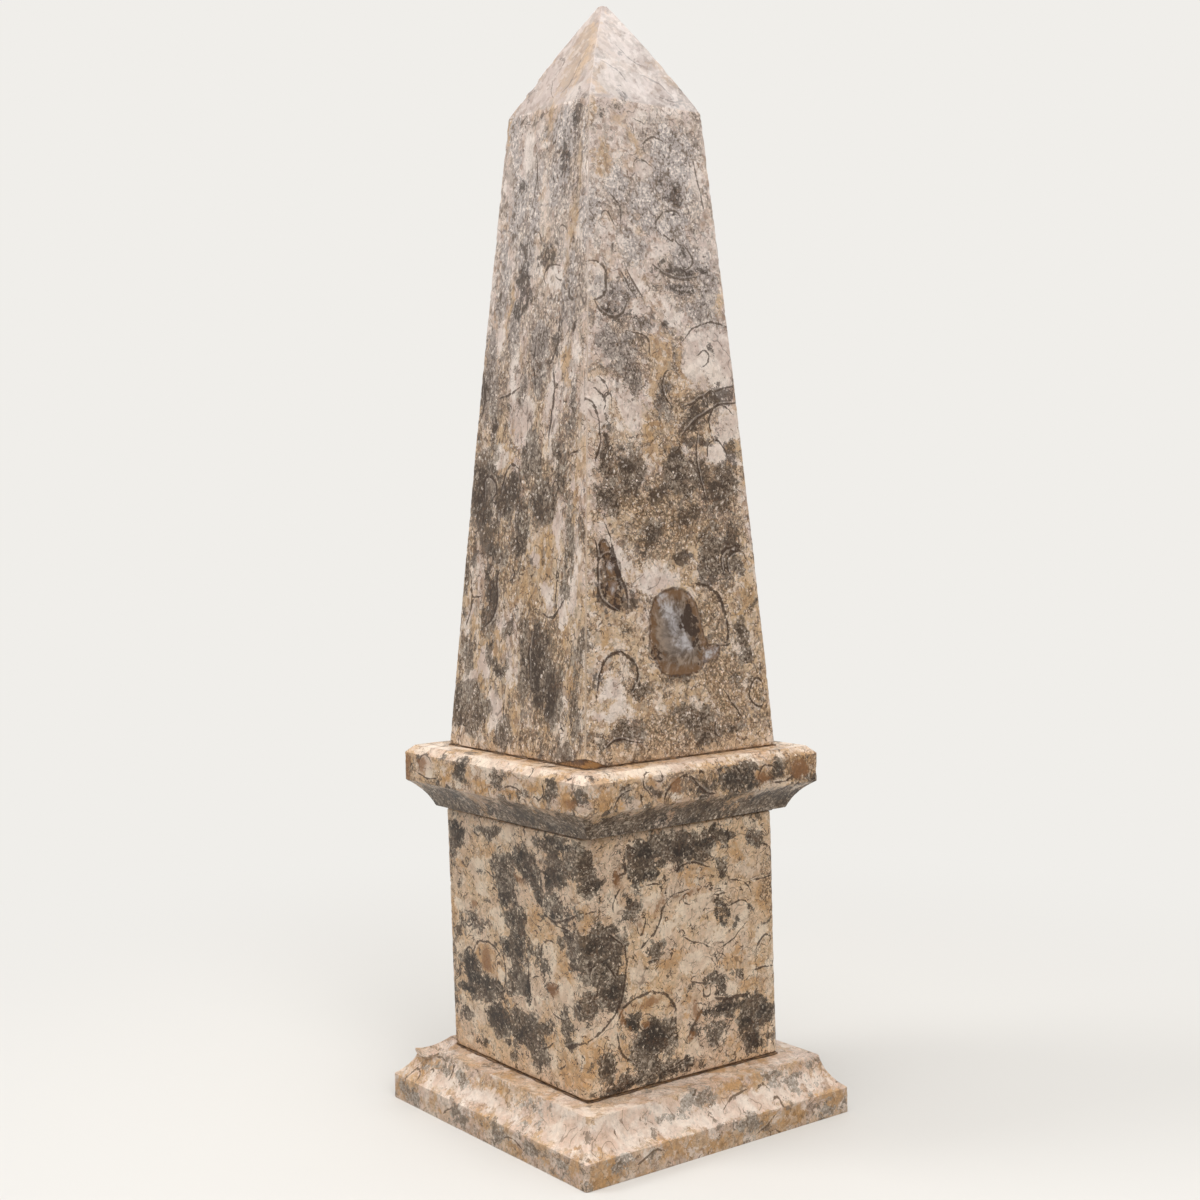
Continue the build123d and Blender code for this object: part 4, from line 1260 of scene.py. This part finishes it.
# chance marks for each kind of face: (count, smallest, largest, slimness)
wallMix = {
    "grey": (20, 2, 5, 0.5), "ochre": (14, 1.5, 5, 0.5), "pale": (14, 1.5, 4, 0.5),
    "dark": (16, 0.8, 2.4, 0.4), "gravel": (8, 4, 9, 0.6), "arcs": (16, 1.2, 5, 0.4),
    "rings": (2, 1.4, 2.6, 0.6),
}
ledgeMix = {
    "grey": (9, 1.5, 3, 0.5), "ochre": (8, 1.5, 4, 0.5), "pale": (8, 1.5, 4, 0.5),
    "dark": (8, 0.6, 1.6, 0.4), "arcs": (7, 1, 3, 0.4),
}
scatterMix = {"dark": (14, 0.4, 1.0, 0.4), "arcs": (8, 0.8, 3, 0.3), "pale": (8, 0.8, 2, 0.5)}
for i, (stone, mix, width, low, high) in enumerate((
        (baseStone, ledgeMix, 75, 0, 13), (pedestalStone, wallMix, 53, 14, 69),
        (capStone, ledgeMix, 66, 70, 84), (shaftStone, wallMix, 40, 85, 165),
        (shaftStone, wallMix, 30, 165, 248))):
    for face, seed, faceMix in (
            ("back", 100, mix), ("left", 101, mix), ("front", 200, scatterMix), ("right", 201, scatterMix)):
        addMarks(stone, face, strewMarks(seed + 10 * i, width, low, high, faceMix))
for stone, width in ((baseStone, 66), (capStone, 60)):
    addMarks(stone, "top", strewMarks(width, width, -width / 2, width / 2, ledgeMix))


lip = 0.8  # how far in mm a profile runs in over a flat foot or top


def baseProfile(stone):
    edge, top = stone["edgeHeight"], stone["edgeHeight"] + stone["coveHeight"]
    cove = hollowRun((0, edge), (stone["coveReach"], top), stone["coveHollow"])
    return easedProfile([(lip, 0), (0, 0)] + cove + [(stone["coveReach"] + lip, top)], 0.12)


def pedestalProfile(stone):
    return easedProfile([(lip, 0), (0, 0), (0, stone["height"]), (lip, stone["height"])], 0.35)


def capProfile(stone):
    reach, bevel = stone["coveReach"], stone["bevel"]
    edge = stone["coveHeight"] + stone["edgeHeight"]
    cove = hollowRun((reach, 0), (0, stone["coveHeight"]), stone["coveHollow"])
    top = [(0, edge), (bevel, edge + bevel), (bevel + lip, edge + bevel)]
    return easedProfile([(reach + lip, 0)] + cove + top, 0.12)


def shaftProfile(stone):
    # insets run from the foot to the tip on the wider side; the tree scales them for the other side
    full = (stone["widthX"] - stone["tip"]) / 2
    shoulder = (stone["widthX"] - stone["shoulderX"]) / 2
    height, tip = stone["height"], stone["height"] + stone["pointHeight"]
    shaft = hollowRun((0, 0), (shoulder, height), -stone["swell"], 10)
    point = hollowRun((shoulder, height), (full, tip), -stone["pointSwell"], 6)
    stone["reachX"], stone["reachY"] = full, (stone["widthY"] - stone["tip"]) / 2
    return easedProfile([(lip, 0)] + shaft + point[1:] + [(full + 0.3, tip)], 0.4)


basePiece, pedestalPiece, capPiece, shaftPiece = (
    buildStone(name, stone, profile(stone), stoneMaterial(name, limestone, stone["look"]))
    for name, stone, profile in (
        ("baseStone", baseStone, baseProfile), ("pedestalStone", pedestalStone, pedestalProfile),
        ("capStone", capStone, capProfile), ("shaftStone", shaftStone, shaftProfile)))


def resinMaterial(name, look):
    # set resin or glue: cloudy brown, glossy, with paler bubbles and dust in it
    material, nodes, shader = newMaterial(name)
    place = nodes.scale(nodes.add("ShaderNodeTexCoord").outputs["Object"], 1000.0)
    cloud = nodes.noise(place, look["grain"], 4, 0.65)[0]
    bubbles = nodes.cells(place, look["grain"] * 3)["Distance"]
    colour = nodes.mix(nodes.step(cloud, 0.38, 0.62), look["deep"], look["light"])
    colour = nodes.mix(nodes.step(bubbles, 0.22, 0.1, 0.0, 0.35), colour, look["dust"])
    roughness = nodes.step(cloud, 0.3, 0.7, look["gloss"], look["gloss"] + 0.25)
    coat(nodes, shader, colour, roughness, cloud, 0.4, 0.2)
    return material


fillLook = {
    "deep": srgb(90, 57, 27), "light": srgb(158, 114, 64), "dust": srgb(206, 178, 136),
    "grain": 0.5, "gloss": 0.15,
}
glueLook = {
    "deep": srgb(72, 52, 36), "light": srgb(128, 96, 64), "dust": srgb(178, 152, 120),
    "grain": 0.7, "gloss": 0.3,
}
fillMaterial = resinMaterial("setResin", fillLook)
glueMaterial = resinMaterial("oldGlue", glueLook)
for node in ("base_glue_bed", "pedestal_glue_bed", "shaft_glue_bed"):
    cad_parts[node].material_slots[0].material = glueMaterial
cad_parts["corner_fill"].material_slots[0].material = fillMaterial
print("glue and resin ready")


def beadTree():
    # a line of squeezed-out glue round a joint: a tube whose thickness comes and goes; its dark brown line
    # also stands in for the thin shadow line along the joint, a painted shade
    nodes = NodeGroup("glueBead", {
        "Geometry": "Geometry", "Width X": 0.05, "Width Y": 0.05, "Thickness": 0.0004, "Spacing": 0.0006,
        "Seed": 1.0, "Material": "Material",
    }, {"Geometry": "Geometry"}, "GeometryNodeTree")
    get = nodes.get
    path = nodes.add("GeometryNodeCurvePrimitiveQuadrilateral", {
        "Width": get["Width X"], "Height": get["Width Y"],
    })
    points = nodes.add("GeometryNodeResampleCurve", {
        "Curve": path.outputs[0], "Length": get["Spacing"],
    }, mode="LENGTH")
    swell, tint = nodes.add("ShaderNodeTexNoise", {
        "Vector": nodes.add("GeometryNodeInputPosition").outputs[0], "W": get["Seed"],
        "Scale": 160.0, "Detail": 3.0, "Roughness": 0.6,
    }, noise_dimensions="4D").outputs
    radius = nodes.times(nodes.step(swell, 0.42, 0.7, 0.15, 1.0), get["Thickness"])
    wobble = nodes.scale(nodes.vector("SUBTRACT", tint, (0.5, 0.5, 0.5)), 0.0004)
    moved = nodes.add("GeometryNodeSetPosition", {"Geometry": points.outputs[0], "Offset": wobble})
    sized = nodes.add("GeometryNodeSetCurveRadius", {"Curve": moved.outputs[0], "Radius": radius})
    ring = nodes.add("GeometryNodeCurvePrimitiveCircle", {"Resolution": 7, "Radius": 1.0})
    tube = nodes.add("GeometryNodeCurveToMesh", {
        "Curve": sized.outputs[0], "Profile Curve": ring.outputs[0], "Scale": radius,
    })
    return dressedTree(nodes, tube.outputs[0])


glueBeadsAndJointShadow = {
    "thickness": 0.42, "spacing": 0.6, "inset": 0.25,
    "joints": {
        "baseBead": (pedestalStone, "foot", 13.2), "pedestalBead": (pedestalStone, "top", 69.5),
        "shaftBead": (shaftStone, "foot", 83.9),
    },
}


def buildBeads(beads, material):
    tree = beadTree()
    pieces = []
    for seed, (name, (stone, end, level)) in enumerate(beads["joints"].items()):
        widthX, widthY = stone["widthX"] - 2 * beads["inset"], stone["widthY"] - 2 * beads["inset"]
        bead = bakeTree(name, tree, {
            "Width X": widthX * mm, "Width Y": widthY * mm, "Thickness": beads["thickness"] * mm,
            "Spacing": beads["spacing"] * mm, "Seed": seed + 1.0, "Material": material,
        })
        lean = stone.get("lean", (0, 0)) if end == "top" else (0, 0)
        shift = (stone["shift"][0] + lean[0], stone["shift"][1] + lean[1])
        bead.data.transform(placeMatrix(shift, stone["turn"], level))
        bead.data.shade_smooth()
        pieces.append(bead)
    return pieces


for piece in buildBeads(glueBeadsAndJointShadow, glueMaterial):
    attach(piece, "root")

for piece, node, slot in (
        (basePiece, "base_slab", "base_stone"), (pedestalPiece, "pedestal_block", "pedestal_stone"),
        (capPiece, "cap_slab", "cap_stone"), (shaftPiece, "obelisk_shaft", "shaft_stone")):
    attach(piece, "root")
    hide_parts(node)

print("stones and glue beads tied to the CAD")

shot = {
    "azimuth": 52.413, "elevation": 3.41, "distance": 404.575, "across": -2.746, "height": 117.157,
    "roll": -0.655, "lens": 53.2,
}


def placeCamera(shot):
    azimuth, elevation = math.radians(shot["azimuth"]), math.radians(shot["elevation"])
    level = math.cos(elevation)
    back = Vector((math.sin(azimuth) * level, -math.cos(azimuth) * level, math.sin(elevation)))
    right = Vector((math.cos(azimuth), math.sin(azimuth), 0))
    up = back.cross(right)
    roll = math.radians(shot["roll"])
    across = right * math.cos(roll) + up * math.sin(roll)
    upright = up * math.cos(roll) - right * math.sin(roll)
    spot = (right * shot["across"] + Vector((0, 0, shot["height"])) + back * shot["distance"]) * mm
    data = bpy.data.cameras.new("camera")
    data.sensor_width = 36
    data.lens = shot["lens"]
    data.clip_start = 0.01
    camera = bpy.data.objects.new("camera", data)
    bpy.context.scene.collection.objects.link(camera)
    camera.matrix_world = Matrix((across, upright, back)).transposed().to_4x4()
    camera.matrix_world.translation = spot
    bpy.context.scene.camera = camera


placeCamera(shot)
print("camera placed")

studio = {
    "floorColour": srgb(214, 211, 206), "bounceColour": srgb(158, 155, 150), "backdrop": srgb(240, 238, 234),
    "floorSize": 4.0, "horizonLevel": 0.22, "zenithLevel": 0.75, "aim": (0, 0, 0.12),
    "lamps": [
        ("key", (-0.42, -0.68, 0.8), 0.4, 3.4), ("fill", (0.82, -0.22, 0.68), 0.45, 3.15),
        ("top", (0.1, -0.08, 0.9), 0.45, 4.1),
    ],
}


def addLamp(name, spot, size, watts, aim):
    data = bpy.data.lights.new(name, "AREA")
    data.shape = "DISK"
    data.size = size
    data.energy = watts
    lamp = bpy.data.objects.new(name, data)
    bpy.context.scene.collection.objects.link(lamp)
    lamp.location = spot
    lamp.rotation_euler = (Vector(aim) - Vector(spot)).to_track_quat("-Z", "Y").to_euler()


def seesBackdrop(nodes):
    # 1 for the camera and for what mirrors or passes its view
    rays = nodes.add("ShaderNodeLightPath").outputs
    seen = nodes.largest(rays["Is Camera Ray"], rays["Is Glossy Ray"])
    return nodes.largest(seen, rays["Is Transmission Ray"])


def floorMaterial(studio):
    # the floor keeps its shadows near the object and fades into the backdrop further off
    material, nodes, shader = newMaterial("floor")
    shader.inputs["Roughness"].default_value = 0.7
    place = nodes.add("ShaderNodeTexCoord").outputs["Object"]
    rays = seesBackdrop(nodes)
    nodes.plug(nodes.mix(rays, studio["bounceColour"], studio["floorColour"]), shader.inputs["Base Color"])
    seen = nodes.times(nodes.step(nodes.vector("LENGTH", place), 0.06, 0.3), rays)
    glow = nodes.add("ShaderNodeEmission", {"Color": studio["backdrop"], "Strength": 1.0}).outputs[0]
    mixed = nodes.add("ShaderNodeMixShader", {0: seen, 1: shader.outputs[0], 2: glow})
    nodes.plug(mixed.outputs[0], nodes.tree.nodes["Material Output"].inputs["Surface"])
    return material


def buildStudio(studio):
    scene = bpy.context.scene
    scene.view_settings.view_transform = "Standard"
    for lamp in studio["lamps"]:
        addLamp(*lamp, studio["aim"])
    half = studio["floorSize"] / 2
    mesh = bpy.data.meshes.new("floor")
    corners = [(x * half, y * half, 0) for x, y in ((-1, -1), (1, -1), (1, 1), (-1, 1))]
    mesh.from_pydata(corners, [], [(0, 1, 2, 3)])
    floor = bpy.data.objects.new("floor", mesh)
    scene.collection.objects.link(floor)
    mesh.materials.append(floorMaterial(studio))
    world = bpy.data.worlds.new("studio")
    scene.world = world
    world.use_nodes = True
    nodes = NodeTree(world.node_tree)
    background = world.node_tree.nodes["Background"].inputs
    seen = seesBackdrop(nodes)
    rise = nodes.split(nodes.add("ShaderNodeTexCoord").outputs["Generated"])[2]
    level = nodes.mixValue(nodes.largest(rise, 0.0), studio["horizonLevel"], studio["zenithLevel"])
    nodes.plug(nodes.mix(seen, (1, 1, 1, 1), studio["backdrop"]), background["Color"])
    nodes.plug(nodes.mixValue(seen, level, 1.0), background["Strength"])


buildStudio(studio)
print("studio lit")
